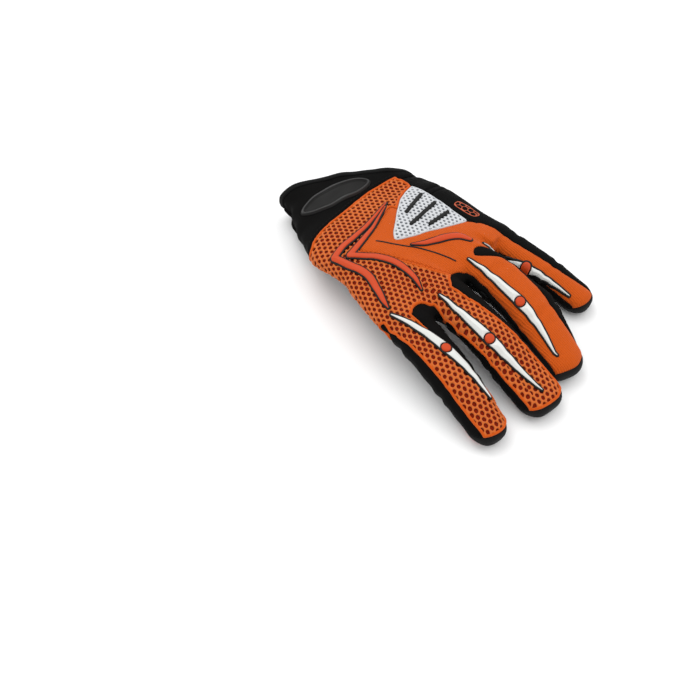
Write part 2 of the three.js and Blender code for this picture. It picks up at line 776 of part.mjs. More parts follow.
function addBones() {
  for (const [name, { dot, spine }] of Object.entries(bones)) {
    const digit = fingers[name];
    const points = spine.map((row) => digitPoint(digit, fingerSections, row.at, row.across));
    const line = smooth(points, 3);
    const dotIndex = spine.findIndex((row) => row.at === dot);
    const centre = line[dotIndex * 3];
    const clear = circle(centre, dotRadius + gap);
    const lengths = line.map((p) => p.distanceTo(centre));
    const half = (i) => {
      const total = i < dotIndex * 3 ? lengths[0] : lengths.at(-1);
      return boneHalfWidth * (1 - lengths[i] / total) + boneTipHalfWidth;
    };
    const halves = line.map((_, i) => half(i));
    const rear = line.slice(0, dotIndex * 3 + 1);
    const rearOutline = ribbonOutline(rear, halves.slice(0, dotIndex * 3 + 1));
    const frontOutline = ribbonOutline(line.slice(dotIndex * 3), halves.slice(dotIndex * 3));
    const base = joined([
      prism(rearOutline, boneBorder),
      prism(frontOutline, boneBorder),
      prism(circle(centre, dotRadius), boneBorder),
    ]);
    add("bone_base_" + name, plate(base, gap, boneBaseThickness), "black");
    const level = 2 * gap + boneBaseThickness;
    const rearHalf = prism(rearOutline).subtract(prism(clear));
    const frontHalf = prism(frontOutline).subtract(prism(clear));
    add("bone_rear_" + name, plate(rearHalf, level, boneThickness), "bone");
    add("bone_front_" + name, plate(frontHalf, level, boneThickness), "bone");
    add("bone_dot_" + name, plate(prism(circle(centre, dotRadius)), level, dotThickness), "rubber");
  }
}

function addBadge() {
  const turn = THREE.MathUtils.degToRad(badge.turn);
  const oval = (inset) =>
    circle(new THREE.Vector2(), 1, 20).map((p) =>
      new THREE.Vector2(p.x * (badge.halfLength - inset), p.y * (badge.halfWidth - inset))
        .rotateAround(new THREE.Vector2(), turn)
        .add(onHand(badge)),
    );
  add("badge_base", plate(prism(oval(0)), gap, badgeThickness), "badge");
  const rim = prism(oval(0.5)).subtract(prism(oval(0.5 + badgeRimWidth)));
  add("badge_rim", plate(rim, 2 * gap + badgeThickness, badgeRimThickness), "badge");
}

addCuff();
addStrap();
addPalm();
addBack();
addRibs();
addBones();
addBadge();

// The origin is the middle of the bounding box's bottom face
const box = new THREE.Box3().setFromObject(group);
const centre = box.getCenter(new THREE.Vector3());
group.position.set(-centre.x, -centre.y, -box.min.z);

export default group;
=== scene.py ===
"""Looks for a left-hand motocross glove lying palm down with its thumb tucked under the palm.

Lengths are millimetres in the glove's own axes, with +Y to the fingertips and +X to the index finger,
until a mesh is made; meshes are metres in the row frame.
"""

import math

import bpy
import numpy as np
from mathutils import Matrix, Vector
from mathutils.bvhtree import BVHTree
from mathutils.kdtree import KDTree


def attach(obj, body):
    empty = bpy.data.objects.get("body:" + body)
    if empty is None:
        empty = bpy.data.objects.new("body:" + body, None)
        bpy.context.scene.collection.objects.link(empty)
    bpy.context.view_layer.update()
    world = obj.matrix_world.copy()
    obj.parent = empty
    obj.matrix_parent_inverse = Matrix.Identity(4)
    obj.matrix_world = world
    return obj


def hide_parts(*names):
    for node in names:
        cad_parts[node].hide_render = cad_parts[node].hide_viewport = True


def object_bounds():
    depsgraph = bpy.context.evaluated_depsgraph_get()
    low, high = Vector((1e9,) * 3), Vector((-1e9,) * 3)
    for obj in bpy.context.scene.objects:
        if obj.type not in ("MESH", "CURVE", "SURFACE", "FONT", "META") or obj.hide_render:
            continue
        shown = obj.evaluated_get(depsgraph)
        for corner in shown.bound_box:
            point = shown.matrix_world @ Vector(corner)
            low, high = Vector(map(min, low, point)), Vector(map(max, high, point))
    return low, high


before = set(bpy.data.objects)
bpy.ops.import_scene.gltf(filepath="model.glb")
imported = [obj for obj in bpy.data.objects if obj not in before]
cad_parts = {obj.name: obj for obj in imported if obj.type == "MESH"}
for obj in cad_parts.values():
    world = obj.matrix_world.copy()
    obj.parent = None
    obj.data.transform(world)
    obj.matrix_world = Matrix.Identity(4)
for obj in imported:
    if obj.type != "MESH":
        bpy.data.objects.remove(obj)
cad_box = [list(corner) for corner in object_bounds()]

# Driving sizes, the same as the source's
GLOVE_LOW = np.array([-56.12, -25.36, 0.0])
ORIGIN = np.array([cad_box[0][0], cad_box[0][1], 0.0]) * 1000 - GLOVE_LOW
HAND = {"length": 160, "width": 120, "height": 27, "rise": 27, "wrist": -38}
FLOOR = 3.3

# Powers of rounded shapes: 2 is an ellipse, and more is squarer
HAND_POWER = 2.7
DIGIT_POWER = 2.3
PATCH_POWER = 2.6

HAND_ROWS = {
    "at": [0, 0.12, 0.24, 0.36, 0.47, 0.58, 0.7, 0.82, 0.92, 0.98, 1.0],
    "shift": [0.01, 0.022, 0.04, 0.075, 0.095, 0.097, 0.097, 0.115, 0.12, 0.115, 0.11],
    "width": [0.6, 0.66, 0.745, 0.85, 0.92, 0.93, 0.945, 1.0, 1.04, 1.0, 0.95],
    "lift": [0.6, 0.6, 0.6, 0.615, 0.73, 0.9, 0.96, 0.96, 0.93, 0.9, 0.88],
    "height": [1.05, 1.05, 1.05, 1.03, 0.99, 0.93, 0.88, 0.87, 0.82, 0.62, 0.4],
    "roll": [0, 0, 0, 0, 2, 3, 4, 4, 3, 3, 3],
}
FINGER_ROWS = {
    "at": [0, 0.15, 0.3, 0.45, 0.6, 0.74, 0.87],
    "width": [1, 1, 1, 1, 1, 1, 1],
    "height": [1, 1, 0.98, 0.95, 0.92, 0.89, 0.85],
    "drop": [0, 0.02, 0.07, 0.18, 0.36, 0.62, 0.9],
    "sway": [0, 0.5, 0.9, 1, 0.9, 0.5, 0],
}
THUMB_ROWS = {
    "at": [0, 0.15, 0.3, 0.45, 0.6, 0.74, 0.85],
    "width": [0.9, 0.95, 1, 1, 0.98, 0.92, 0.84],
    "height": [1.2, 1.1, 1, 1, 1, 1, 1],
    "drop": [0, 0.3, 0.75, 1, 1, 1, 1],
    "sway": [0, 0, 0, 0, 0, 0, 0],
}


def digit(across, along, lift, tip, heading, bend, length, width, tip_width, height, rows=FINGER_ROWS):
    """A digit's root, its directions in plan for a heading in degrees, and its sizes."""
    turn = math.radians(heading)
    return dict(
        root=np.array([across * HAND["width"], HAND["wrist"] + along * HAND["length"]]),
        forward=np.array([math.sin(turn), math.cos(turn)]),
        side=np.array([math.cos(turn), -math.sin(turn)]),
        lift=lift, tip=tip, bend=bend, length=length, width=width, tip_width=tip_width, height=height,
        rows=rows,
    )


DIGITS = {
    "index": digit(0.464, 0.788, 27, 7.4, 9.1, 0, 126, 31, 24.6, 21),
    "middle": digit(0.242, 0.8, 28.5, 7.4, 2.2, -1.5, 131, 31, 31, 21),
    "ring": digit(0, 0.788, 27, 7.4, 1.8, -11, 124, 33, 32, 21),
    "little": digit(-0.275, 0.763, 20.5, 6.9, -8, 0, 99, 23, 23, 19),
    "thumb": digit(0.35, 0.413, 15, 6, -30, 0, 96, 36, 36, 12, THUMB_ROWS),
}
FINGERS = ["index", "middle", "ring", "little"]

# Reach of each finger's back covering to its thumb side and to its little side
STRIPS = {
    "index": [
        (0.1, 0.54, 0.04), (0.26, 0.5, -0.02), (0.38, 0.42, -0.1), (0.51, 0.38, -0.2),
        (0.66, 0.34, -0.31), (0.82, 0.32, -0.42), (1.1, 0.24, -0.54),
    ],
    "middle": [
        (0.1, 0.46, -0.09), (0.28, 0.46, -0.09), (0.42, 0.47, -0.23), (0.54, 0.47, -0.31),
        (0.67, 0.46, -0.37), (0.8, 0.46, -0.41), (1.1, 0.45, -0.43),
    ],
    "ring": [
        (0.1, 0.43, 0.13), (0.22, 0.46, 0.12), (0.28, 0.46, -0.15), (0.34, 0.46, -0.3),
        (0.44, 0.48, -0.33), (0.56, 0.49, -0.31), (0.7, 0.47, -0.31), (1.1, 0.42, -0.39),
    ],
    "little": [
        (0.1, 0.46, 0.1), (0.26, 0.46, 0.0), (0.42, 0.46, 0.0), (0.57, 0.46, -0.05),
        (0.72, 0.46, -0.1), (0.85, 0.46, -0.22), (1.1, 0.45, -0.4),
    ],
}

# Spines of the bones, as shares of the finger's length and width with the disc at the third point,
# and half their thickness
BONES = {
    "index": ([(0.21, 0.3), (0.38, 0.03), (0.514, -0.135), (0.666, -0.25), (0.82, -0.3)], 2.75),
    "middle": ([(0.258, 0.25), (0.418, 0.22), (0.578, 0.195), (0.738, 0.13), (0.908, 0.02)], 2.75),
    "ring": ([(0.218, 0.24), (0.398, 0.262), (0.564, 0.24), (0.728, 0.165), (0.888, 0.116)], 2.75),
    "little": ([(0.24, 0.74), (0.4, 0.54), (0.54, 0.43), (0.69, 0.36), (0.87, 0.32)], 1.4),
}

# Outlines on the hand, as shares of its width and length
OUTLINES = {
    "cuff_edge": [(0.342, 0.081), (0.18, 0.142), (0.008, 0.216), (-0.17, 0.298), (-0.35, 0.381)],
    "cuff_seam": [
        (0.7, 0.5), (0.533, 0.438), (0.475, 0.413), (0.41, 0.4), (0.325, 0.394), (0.208, 0.39),
        (0.067, 0.378), (-0.05, 0.375), (-0.2, 0.381), (-0.225, 0.412), (-0.5, 0.444),
    ],
    "white": [
        (-0.21, 0.478), (-0.133, 0.494), (-0.064, 0.515), (0.023, 0.561), (0.102, 0.609), (0.168, 0.646),
        (0.205, 0.68), (0.176, 0.699), (0.103, 0.724), (0.011, 0.743), (-0.103, 0.776), (-0.217, 0.8),
        (-0.22, 0.65),
    ],
    "knit": [
        (0.02, 0.518), (0.187, 0.567), (0.323, 0.595), (0.411, 0.616), (0.349, 0.695), (0.298, 0.77),
        (0.241, 0.841), (0.201, 0.91), (0.158, 0.957), (0.108, 0.963), (0.06, 0.99),
        (-0.02, 0.985), (-0.045, 0.944), (-0.083, 0.928), (-0.13, 0.944), (-0.19, 0.99), (-0.308, 0.925),
        (-0.27, 0.856), (-0.217, 0.8), (0.0, 0.7),
    ],
    "mesh": [
        (0.75, 0.3), (-0.215, 0.3), (-0.212, 0.48), (0.033, 0.6), (0.2, 0.7), (0.12, 0.9),
        (0.147, 0.962), (0.18, 0.975), (0.22, 1.02), (0.375, 1.02), (0.4, 0.985),
        (0.433, 0.975), (0.47, 0.98), (0.5, 1.0), (0.61, 0.97), (0.66, 0.9), (0.75, 0.84),
    ],
}

# Moulded ribs: shares across and along, and half the width in millimetres, at points of each arm
RIBS = {
    "chevron_outer": [
        [
            (0.022, 0.496, 0.6), (0.181, 0.533, 1.3), (0.338, 0.554, 1.8), (0.433, 0.557, 2.1),
            (0.509, 0.57, 2.2),
        ],
        [
            (0.513, 0.574, 2.2), (0.503, 0.641, 2.4), (0.49, 0.705, 2.5), (0.492, 0.758, 2.4),
            (0.517, 0.817, 2.1), (0.543, 0.87, 1.6), (0.56, 0.912, 0.4),
        ],
    ],
    "chevron_inner": [
        [
            (0.052, 0.514, 0.5), (0.197, 0.562, 1.1), (0.308, 0.589, 1.6), (0.398, 0.606, 2.0),
            (0.45, 0.612, 2.1),
        ],
        [
            (0.453, 0.614, 2.1), (0.415, 0.654, 2.1), (0.366, 0.708, 2.2), (0.329, 0.771, 2.3),
            (0.319, 0.83, 2.1), (0.326, 0.885, 1.6), (0.35, 0.94, 0.4),
        ],
    ],
    "accent_bar": [
        [
            (0.164, 0.751, 0.5), (0.11, 0.779, 1.6), (0.043, 0.799, 2.2), (-0.033, 0.824, 2.5),
            (-0.077, 0.849, 2.5), (-0.1, 0.888, 1.4),
        ],
    ],
}
PIPING = [(34, 64), (26, 77), (18, 88), (12, 100), (8, 110)]
PANEL_BARS = [
    [(-0.17, 0.56), (0.0, 0.6)], [(-0.175, 0.635), (0.05, 0.665)], [(-0.175, 0.71), (-0.03, 0.715)],
]
BADGE = {"across": 0.154, "along": 0.297, "half_length": 27, "half_width": 8.5, "turn": -12.8}
STRAP = {"inset": 17, "half_width": 12, "top": 13}
TAB = {"offset": -8, "half_length": 25, "half_width": 8, "corner": 4}

# Curves and outlines in plan


def on_hand(points):
    p = np.asarray(points, float)
    return np.stack([p[..., 0] * HAND["width"], HAND["wrist"] + p[..., 1] * HAND["length"]], -1)


def curve(rows, key, at):
    """A smooth curve through a table's values, level beyond its ends."""
    x, y = np.asarray(rows["at"], float), np.asarray(rows[key], float)
    slope = np.gradient(y, x)
    at = np.clip(at, x[0], x[-1])
    i = np.clip(np.searchsorted(x, at) - 1, 0, len(x) - 2)
    h = x[i + 1] - x[i]
    t = (at - x[i]) / h
    return (
        (2 * t**3 - 3 * t**2 + 1) * y[i]
        + (t**3 - 2 * t**2 + t) * h * slope[i]
        + (3 * t**2 - 2 * t**3) * y[i + 1]
        + (t**3 - t**2) * h * slope[i + 1]
    )


def digit_plan(name, at, across):
    """Points over a digit, at shares of its length, and across shares of its width towards the thumb."""
    d = DIGITS[name]
    at, across = np.broadcast_arrays(np.asarray(at, float), np.asarray(across, float))
    sideways = curve(d["rows"], "sway", at) * d["bend"] + across * d["width"]
    return d["root"] + np.outer(at, d["forward"]) * d["length"] + np.outer(sideways, d["side"])


def rounded(points, radius=5.0, closed=True, steps=5):
    """The outline with its corners rounded off."""
    p = np.asarray(points, float)
    out = []
    for i in range(len(p)):
        if not closed and i in (0, len(p) - 1):
            out.append(p[i])
            continue
        before, after = p[i - 1] - p[i], p[(i + 1) % len(p)] - p[i]
        a, b = np.linalg.norm(before), np.linalg.norm(after)
        start = p[i] + before / a * min(radius, 0.45 * a)
        end = p[i] + after / b * min(radius, 0.45 * b)
        for t in np.linspace(0, 1, steps):
            out.append((1 - t) ** 2 * start + 2 * t * (1 - t) * p[i] + t * t * end)
    return np.array(out)


def smooth_line(points, steps=8):
    """A smooth open line through the points."""
    p = np.asarray(points, float)
    rows = {"at": np.arange(len(p)), **{k: p[:, k] for k in range(p.shape[1])}}
    at = np.linspace(0, len(p) - 1, (len(p) - 1) * steps + 1)
    return np.stack([curve(rows, k, at) for k in range(p.shape[1])], -1)


def polygon_field(xy, polygon):
    """Distance in plan to a closed outline, positive inside it."""
    xy = xy[:, :2]
    best = np.full(len(xy), 1e9)
    inside = np.zeros(len(xy), bool)
    for a, b in zip(polygon, np.roll(polygon, -1, 0)):
        edge = b - a
        t = np.clip(((xy - a) @ edge) / max(edge @ edge, 1e-9), 0, 1)
        best = np.minimum(best, ((xy - a - t[:, None] * edge) ** 2).sum(1))
        crosses = (a[1] > xy[:, 1]) != (b[1] > xy[:, 1])
        if a[1] != b[1]:
            inside ^= crosses & (xy[:, 0] < a[0] + (xy[:, 1] - a[1]) * edge[0] / edge[1])
    return np.where(inside, 1.0, -1.0) * np.sqrt(best)


def ribbon_field(xy, line):
    """Distance inside a ribbon whose half-width changes along a line of x, y and half-width."""
    best = np.full(len(xy), -1e9)
    for a, b in zip(line[:-1], line[1:]):
        edge = b[:2] - a[:2]
        t = np.clip(((xy - a[:2]) @ edge) / max(edge @ edge, 1e-9), 0, 1)
        away = np.sqrt(((xy - a[:2] - t[:, None] * edge) ** 2).sum(1))
        best = np.maximum(best, a[2] + (b[2] - a[2]) * t - away)
    return best


def cuff_side(xy):
    """Positive on the cuff's side of the seam between the cuff and the hand."""
    seam = smooth_line(on_hand(OUTLINES["cuff_seam"]), 4)
    w, l = HAND["width"], HAND["length"]
    return polygon_field(xy, np.vstack([seam, [[-w, seam[-1][1]], [-w, -l], [w, -l], [w, seam[0][1]]]]))


def past_edge(xy):
    """Distance past the cuff's edge, positive outside the glove."""
    edge = smooth_line(on_hand(OUTLINES["cuff_edge"]), 6)
    reach = HAND["width"]
    first, last = edge[0] - edge[1], edge[-1] - edge[-2]
    start = edge[0] + first / np.linalg.norm(first) * reach
    end = edge[-1] + last / np.linalg.norm(last) * reach
    back = [[end[0] - reach, start[1] - reach], [start[0], start[1] - reach]]
    return polygon_field(xy, np.vstack([[start], edge, [end], back]))


def strip_field(xy, name):
    rows = np.array(STRIPS[name])
    near = digit_plan(name, rows[:, 0], rows[:, 1])
    far = digit_plan(name, rows[:, 0], rows[:, 2])
    return polygon_field(xy, rounded(np.vstack([near, far[::-1]]), 9))


def panel_field(xy, name, fingers=(), radius=5.0):
    """Positive inside a panel's outline on the hand and its strips on the fingers."""
    fields = [polygon_field(xy, rounded(on_hand(OUTLINES[name]), radius))]
    return np.maximum.reduce(fields + [strip_field(xy, finger) for finger in fingers])


def divide_field(xy, name):
    """Positive on the little side of a line that runs along a finger."""
    line = digit_plan(name, [-0.3, 0, 0.15, 0.3, 0.45, 0.6, 0.74, 0.87, 1.3], 0.25)
    far = [[line[-1][0] - 300, line[-1][1]], [line[0][0] - 300, line[0][1]]]
    return polygon_field(xy, np.vstack([line, far]))


# Places on a digit and on the hand


def digit_section(d, at):
    """Half the width, half the height and the centre's height at a share of a digit's length."""
    drop = curve(d["rows"], "drop", at)
    width = d["width"] + (d["tip_width"] - d["width"]) * drop
    wide = curve(d["rows"], "width", at) * width / 2
    high = curve(d["rows"], "height", at) * d["height"] / 2
    return wide, high, d["lift"] + (d["tip"] - d["lift"]) * drop


def digit_local(name, p):
    """Share of the length, millimetres across, height over the centre line, and the section's half sizes."""
    d = DIGITS[name]
    q = p[:, :2] - d["root"]
    at = q @ d["forward"] / d["length"]
    wide, high, centre = digit_section(d, at)
    across = q @ d["side"] - curve(d["rows"], "sway", at) * d["bend"]
    return at, across, p[:, 2] - centre, wide, high


def hand_section(at):
    """Shift across, height of the centre line, roll and half sizes at a share of the hand's length."""
    keys = ("shift", "lift", "roll", "width", "height")
    shift, lift, roll, width, height = (curve(HAND_ROWS, key, at) for key in keys)
    wide, high = width * HAND["width"] / 2, height * HAND["height"] / 2
    return shift * HAND["width"], lift * HAND["rise"], roll, wide, high


def hand_local(p):
    """The same five measures as for a digit, for the hand."""
    at = (p[:, 1] - HAND["wrist"]) / HAND["length"]
    shift, lift, roll, wide, high = hand_section(at)
    across = p[:, 0] - shift
    up = p[:, 2] - lift - across * np.sin(np.radians(roll))
    return at, across, up, wide, high


def above_field(p):
    """Positive on the back of the glove, above the line where it meets the palm."""
    at, across, up, wide, high = hand_local(p)
    level = -0.23 - 0.11 * np.clip(across / wide, -1, 1)
    best = np.minimum(up - level * 2 * high, (1.006 - at) * HAND["length"])
    for name in FINGERS:
        at, across, up, wide, high = digit_local(name, p)
        level = 0.45 * ease(at, 0.88, 0.99) - 0.08
        field = np.minimum(up - level * high, wide + 1.2 - np.abs(across))
        best = np.maximum(best, np.minimum(field, (at + 0.01) * DIGITS[name]["length"]))
    return best


def thumb_field(p):
    """Positive where the skin belongs to the thumb."""
    at, across, up, wide, high = digit_local("thumb", p)
    x, y = np.abs(across / (wide + 1)), np.abs(up / (high + 1))
    spread = (x**DIGIT_POWER + y**DIGIT_POWER) ** (1 / DIGIT_POWER)
    return np.minimum((1 - spread) * high, np.minimum(at, 1.03 - at) * DIGITS["thumb"]["length"])


def inlay_field(p, name, start, end, half, top):
    """Positive on a patch between two shares of a digit's length, below a height."""
    at, across, _, _, _ = digit_local(name, p)
    length = DIGITS[name]["length"]
    a, b = (end - start) / 2 * length, half * DIGITS[name]["width"]
    x, y = np.abs((at - (start + end) / 2) * length / a), np.abs(across / b)
    spread = (x**PATCH_POWER + y**PATCH_POWER) ** (1 / PATCH_POWER)
    return np.minimum((1 - spread) * min(a, b), top - p[:, 2])


# Meshes as arrays: points, normals and triangles


def unit(v):
    """Vectors brought to length 1."""
    return v / np.maximum(np.linalg.norm(v, axis=-1, keepdims=True), 1e-9)


def compact(p, n, t):
    """A mesh without the points that no triangle has."""
    used, inverse = np.unique(t, return_inverse=True)
    return p[used], n[used], inverse.reshape(t.shape)


def edges_of(t):
    return np.vstack([t[:, [0, 1]], t[:, [1, 2]], t[:, [2, 0]]])


def shared(pairs, size):
    """The two ends of each different edge, and each pair's place among those edges."""
    codes = pairs.min(1).astype(np.int64) * size + pairs.max(1)
    keys, place = np.unique(codes, return_inverse=True)
    return keys // size, keys % size, place


def cut(skin, field, snap=0.07, keep_on=True):
    """The part of a skin where a field of its points is positive, cut along the line where it is zero."""
    p, n, t = skin
    f = np.where(np.abs(field) < snap, 0.0, field)
    inside, on = (f > 0)[t], (f == 0)[t]
    whole = (inside | on).all(1) & (inside.any(1) | keep_on)
    split = inside.any(1) & ~(inside | on).all(1)
    s, count = t[split], inside[split].sum(1)
    one, two = s[count == 1], s[count == 2]
    one = np.take_along_axis(one, (np.argmax((f > 0)[one], 1)[:, None] + np.arange(3)) % 3, 1)
    two = np.take_along_axis(two, (np.argmin((f > 0)[two], 1)[:, None] + 1 + np.arange(3)) % 3, 1)
    pairs = np.vstack([one[:, [0, 1]], one[:, [0, 2]], two[:, [1, 2]], two[:, [0, 2]]])
    a, b, place = shared(pairs, len(p))
    gap = f[a] - f[b]
    w = np.clip(f[a] / np.where(gap == 0, 1, gap), 0, 1)[:, None]
    new = np.where(f[b] == 0, b, len(p) + np.arange(len(a)))
    new = np.where(f[a] == 0, a, new)
    points, normals = (np.vstack([v, v[a] * (1 - w) + v[b] * w]) for v in (p, n))
    k, m = len(one), len(two)
    c01, c02, c12, c20 = np.split(new[place], [k, 2 * k, 2 * k + m])
    corners = ((one[:, 0], c01, c02), (two[:, 0], two[:, 1], c12), (two[:, 0], c12, c20))
    triangles = np.vstack([t[whole]] + [np.stack(c, 1) for c in corners])
    a, b, c = triangles.T
    return compact(points, normals, triangles[(a != b) & (b != c) & (a != c)])


def both(skin, field_of, *details):
    """The two parts of a skin on either side of a field's zero line."""
    field = field_of(skin[0], *details)
    return cut(skin, field), cut(skin, -field, keep_on=False)


def finer(skin):
    """Each triangle split in four, with the new points lifted onto the curve of the skin."""
    p, n, t = skin
    n = unit(n)
    a, b, place = shared(edges_of(t), len(p))
    middle = (p[a] + p[b]) / 2
    lift = sum(((middle - p[k]) * n[k]).sum(1)[:, None] * n[k] for k in (a, b))
    points = np.vstack([p, middle - lift / 4])
    normals = np.vstack([n, (n[a] + n[b]) / 2])
    m = (len(p) + place).reshape(3, -1)
    corners = ((t[:, 0], m[0], m[2]), (m[0], t[:, 1], m[1]), (m[2], m[1], t[:, 2]), m)
    return points, normals, np.vstack([np.stack(c, 1) for c in corners])


def border(triangles):
    """The directed edges that only one triangle has."""
    edges = edges_of(triangles)
    size = int(triangles.max()) + 1
    there, back = (edges[:, i].astype(np.int64) * size + edges[:, 1 - i] for i in (0, 1))
    return edges[~np.isin(there, back)]


def tree_of(points):
    tree = KDTree(len(points))
    for i, q in enumerate(points.tolist()):
        tree.insert(q, i)
    tree.balance()
    return tree


def nearest_of(values, points, wanted):
    """Each wanted point's value, taken from the nearest of the points."""
    tree = tree_of(points)
    return values[np.array([tree.find(q)[1] for q in wanted.tolist()])]


def edge_distance(skin, reach=6.0):
    """Distance of each point from the skin's border, up to a reach."""
    p, _, t = skin
    edges = border(t)
    if not len(edges):
        return np.full(len(p), reach)
    a, b = p[edges[:, 0]], p[edges[:, 1]]
    tree = tree_of(np.vstack([a, a * 2 / 3 + b / 3, a / 3 + b * 2 / 3]))
    d = np.minimum(np.array([tree.find(q)[2] for q in p.tolist()]), reach)
    d[np.unique(edges)] = 0
    return d


def normals_of(p, t):
    face = np.cross(p[t[:, 1]] - p[t[:, 0]], p[t[:, 2]] - p[t[:, 0]])
    sums = [sum(np.bincount(t[:, k], face[:, axis], len(p)) for k in range(3)) for axis in range(3)]
    return unit(np.stack(sums, 1))


def relaxed(p, t, rounds, shares=(0.5, -0.52)):
    """The points evened out, each round followed by one that undoes the shrinking."""
    pairs = edges_of(t)
    here, there = np.vstack([pairs, pairs[:, ::-1]]).T
    count = np.maximum(np.bincount(here, minlength=len(p)), 1)[:, None]
    for share in shares * rounds:
        mean = np.stack([np.bincount(here, p[there, k], len(p)) for k in range(3)], 1) / count
        p = p + (mean - p) * share
    return p


def ease(x, low, high):
    t = np.clip((x - low) / (high - low), 0, 1)
    return t * t * (3 - 2 * t)


def waves(p, length, seed, count=7):
    """A gentle wander between about -1 and 1 with a given wavelength."""
    random = np.random.RandomState(seed)
    total = np.zeros(len(p))
    for _ in range(count):
        direction = random.normal(size=3)
        direction /= np.linalg.norm(direction)
        size = length * random.uniform(0.7, 1.4)
        total += np.sin(p @ direction * (2 * math.pi / size) + random.uniform(0, 6.28))
    return total / math.sqrt(count)


def placed(name, data):
    """A new object in the scene."""
    obj = bpy.data.objects.new(name, data)
    bpy.context.scene.collection.objects.link(obj)
    return obj


# The glove's whole outer form

VOXEL = 0.85
SMOOTHING = 12
SKIN_LOW = 0.4
CUFF_PULL = 5.4


def tube(centre, wide, high, power, floor, roll=0.0, sides=72):
    """Points and faces of a closed tube with rounded sections, kept above a floor."""
    along = unit(np.gradient(centre, axis=0))
    level = unit(np.stack([along[:, 1], -along[:, 0], np.zeros(len(along))], 1))
    upright = np.cross(level, along)
    turn = np.radians(np.broadcast_to(roll, len(centre)))[:, None]
    side = level * np.cos(turn) + upright * np.sin(turn)
    up = upright * np.cos(turn) - level * np.sin(turn)
    angle = 2 * math.pi * (np.arange(sides) + 0.5) / sides
    x, y = (np.sign(c) * np.abs(c) ** (2 / power) for c in (np.cos(angle), np.sin(angle)))
    rings = (
        centre[:, None]
        + side[:, None] * (wide[:, None] * x)[..., None]
        + up[:, None] * (high[:, None] * y)[..., None]
    )
    rings[..., 2] = np.maximum(rings[..., 2], floor)
    faces, last = [], (len(rings) - 1) * sides
    for i in range(0, last, sides):
        for k in range(sides):
            a, b = i + k, i + (k + 1) % sides
            faces.append((a, a + sides, b + sides, b))
    faces += [tuple(range(sides)), tuple(last + k for k in reversed(range(sides)))]
    return rings.reshape(-1, 3), faces


def hand_tube():
    at = np.linspace(0, 1, 60)
    shift, lift, roll, wide, high = hand_section(at)
    centre = np.stack([shift, HAND["wrist"] + at * HAND["length"], lift], 1)
    return tube(centre, wide, high, HAND_POWER, FLOOR, roll, 120)


def digit_tube(name):
    """A digit's tube, with its tip rounded off beyond the last row of its table."""
    d = DIGITS[name]
    end = d["rows"]["at"][-1]
    at = np.linspace(0, end, 44)
    wide, high, height = digit_section(d, at)
    centre = np.column_stack([digit_plan(name, at, 0.0), height])
    forward = unit(centre[-1] - centre[-3]) * [1, 1, 0.55]
    reach = (1 - end) * d["length"] * 0.955
    turn = np.radians([8, 16, 24, 32, 40, 48, 56, 63, 70, 76, 81, 85])
    centre = np.vstack([centre, centre[-1] + np.outer(np.sin(turn) * reach, forward)])
    taper = np.cos(turn) ** 0.66
    wide, high = (np.concatenate([h, h[-1] * taper]) for h in (wide, high))
    return tube(centre, wide, high, DIGIT_POWER, 0.0)


def outer_skin():
    """One closed skin over the hand and all its digits."""
    points, faces, count = [], [], 0
    for p, f in [hand_tube()] + [digit_tube(name) for name in DIGITS]:
        points.append(p)
        faces += [tuple(i + count for i in face) for face in f]
        count += len(p)
    mesh = bpy.data.meshes.new("form")
    mesh.from_pydata(np.vstack(points).tolist(), [], faces)
    obj = placed("form", mesh)
    modifier = obj.modifiers.new("even", "REMESH")
    modifier.mode = "VOXEL"
    modifier.voxel_size = VOXEL
    made = obj.evaluated_get(bpy.context.evaluated_depsgraph_get()).to_mesh()
    made.calc_loop_triangles()
    p = np.zeros(len(made.vertices) * 3)
    made.vertices.foreach_get("co", p)
    t = np.zeros(len(made.loop_triangles) * 3, np.int64)
    made.loop_triangles.foreach_get("vertices", t)
    bpy.data.objects.remove(obj)
    bpy.data.meshes.remove(mesh)
    t = t.reshape(-1, 3)
    p = relaxed(p.reshape(-1, 3), t, SMOOTHING)
    p[:, 2] = np.maximum(p[:, 2], 0.0)
    return p, normals_of(p, t), t


def folds(p, n):
    """Soft unevenness, creases over the joints and a slack cuff, as offsets along the normals."""
    offset = 0.35 * waves(p, 34, 3) + 0.14 * waves(p, 13, 5)
    seam = cuff_side(p)
    offset += ease(seam, -2, 8) * (0.5 * waves(p * [0.4, 1.0, 0.6], 13, 11) + 0.35 * waves(p, 24, 12))
    offset -= 0.7 * np.exp(-((seam + 0.5) ** 2) / 5.0)
    for name, depth in zip(FINGERS, (0.35, 0.35, 0.45, 0.4)):
        at, across, _, wide, _ = digit_local(name, p)
        near = ease(wide + 1.5 - np.abs(across), 0, 1.5) * ease(at, 0.1, 0.2)
        for joint, spread in ((0.36, 0.05), (0.68, 0.04)):
            bump = ((at - joint) + 0.02 * (across / wide) ** 2) / spread
            crease = np.cos(bump * math.pi) * np.exp(-((bump / 1.6) ** 2))
            offset -= near * crease * np.where(n[:, 2] > 0, depth, 0.6)
    # The ring finger is flatter towards the little finger and fuller towards the middle finger
    at, across, up, wide, _ = digit_local("ring", p)
    flank = ease(-across / wide, 0.4, 0.9) * ease(wide + 2 + across, 0, 2)
    offset -= 2.2 * flank * ease(at, 0.08, 0.2) * ease(0.62 - at, 0, 0.15)
    flank = ease(across / wide, 0.5, 0.95) * ease(wide + 2 - across, 0, 2)
    offset += 1.3 * flank * ease(4.0 - up, 0, 4) * ease(at, 0.2, 0.35) * ease(0.7 - at, 0, 0.15)
    under = 1 - ease(n[:, 2], -0.2, 0.4)
    offset += ease(thumb_field(p), -1, 2) * 0.3 * waves(p, 11, 21) * under
    return offset * ease(p[:, 2], 0.4, 4.0)


# Materials, with their coordinates in millimetres


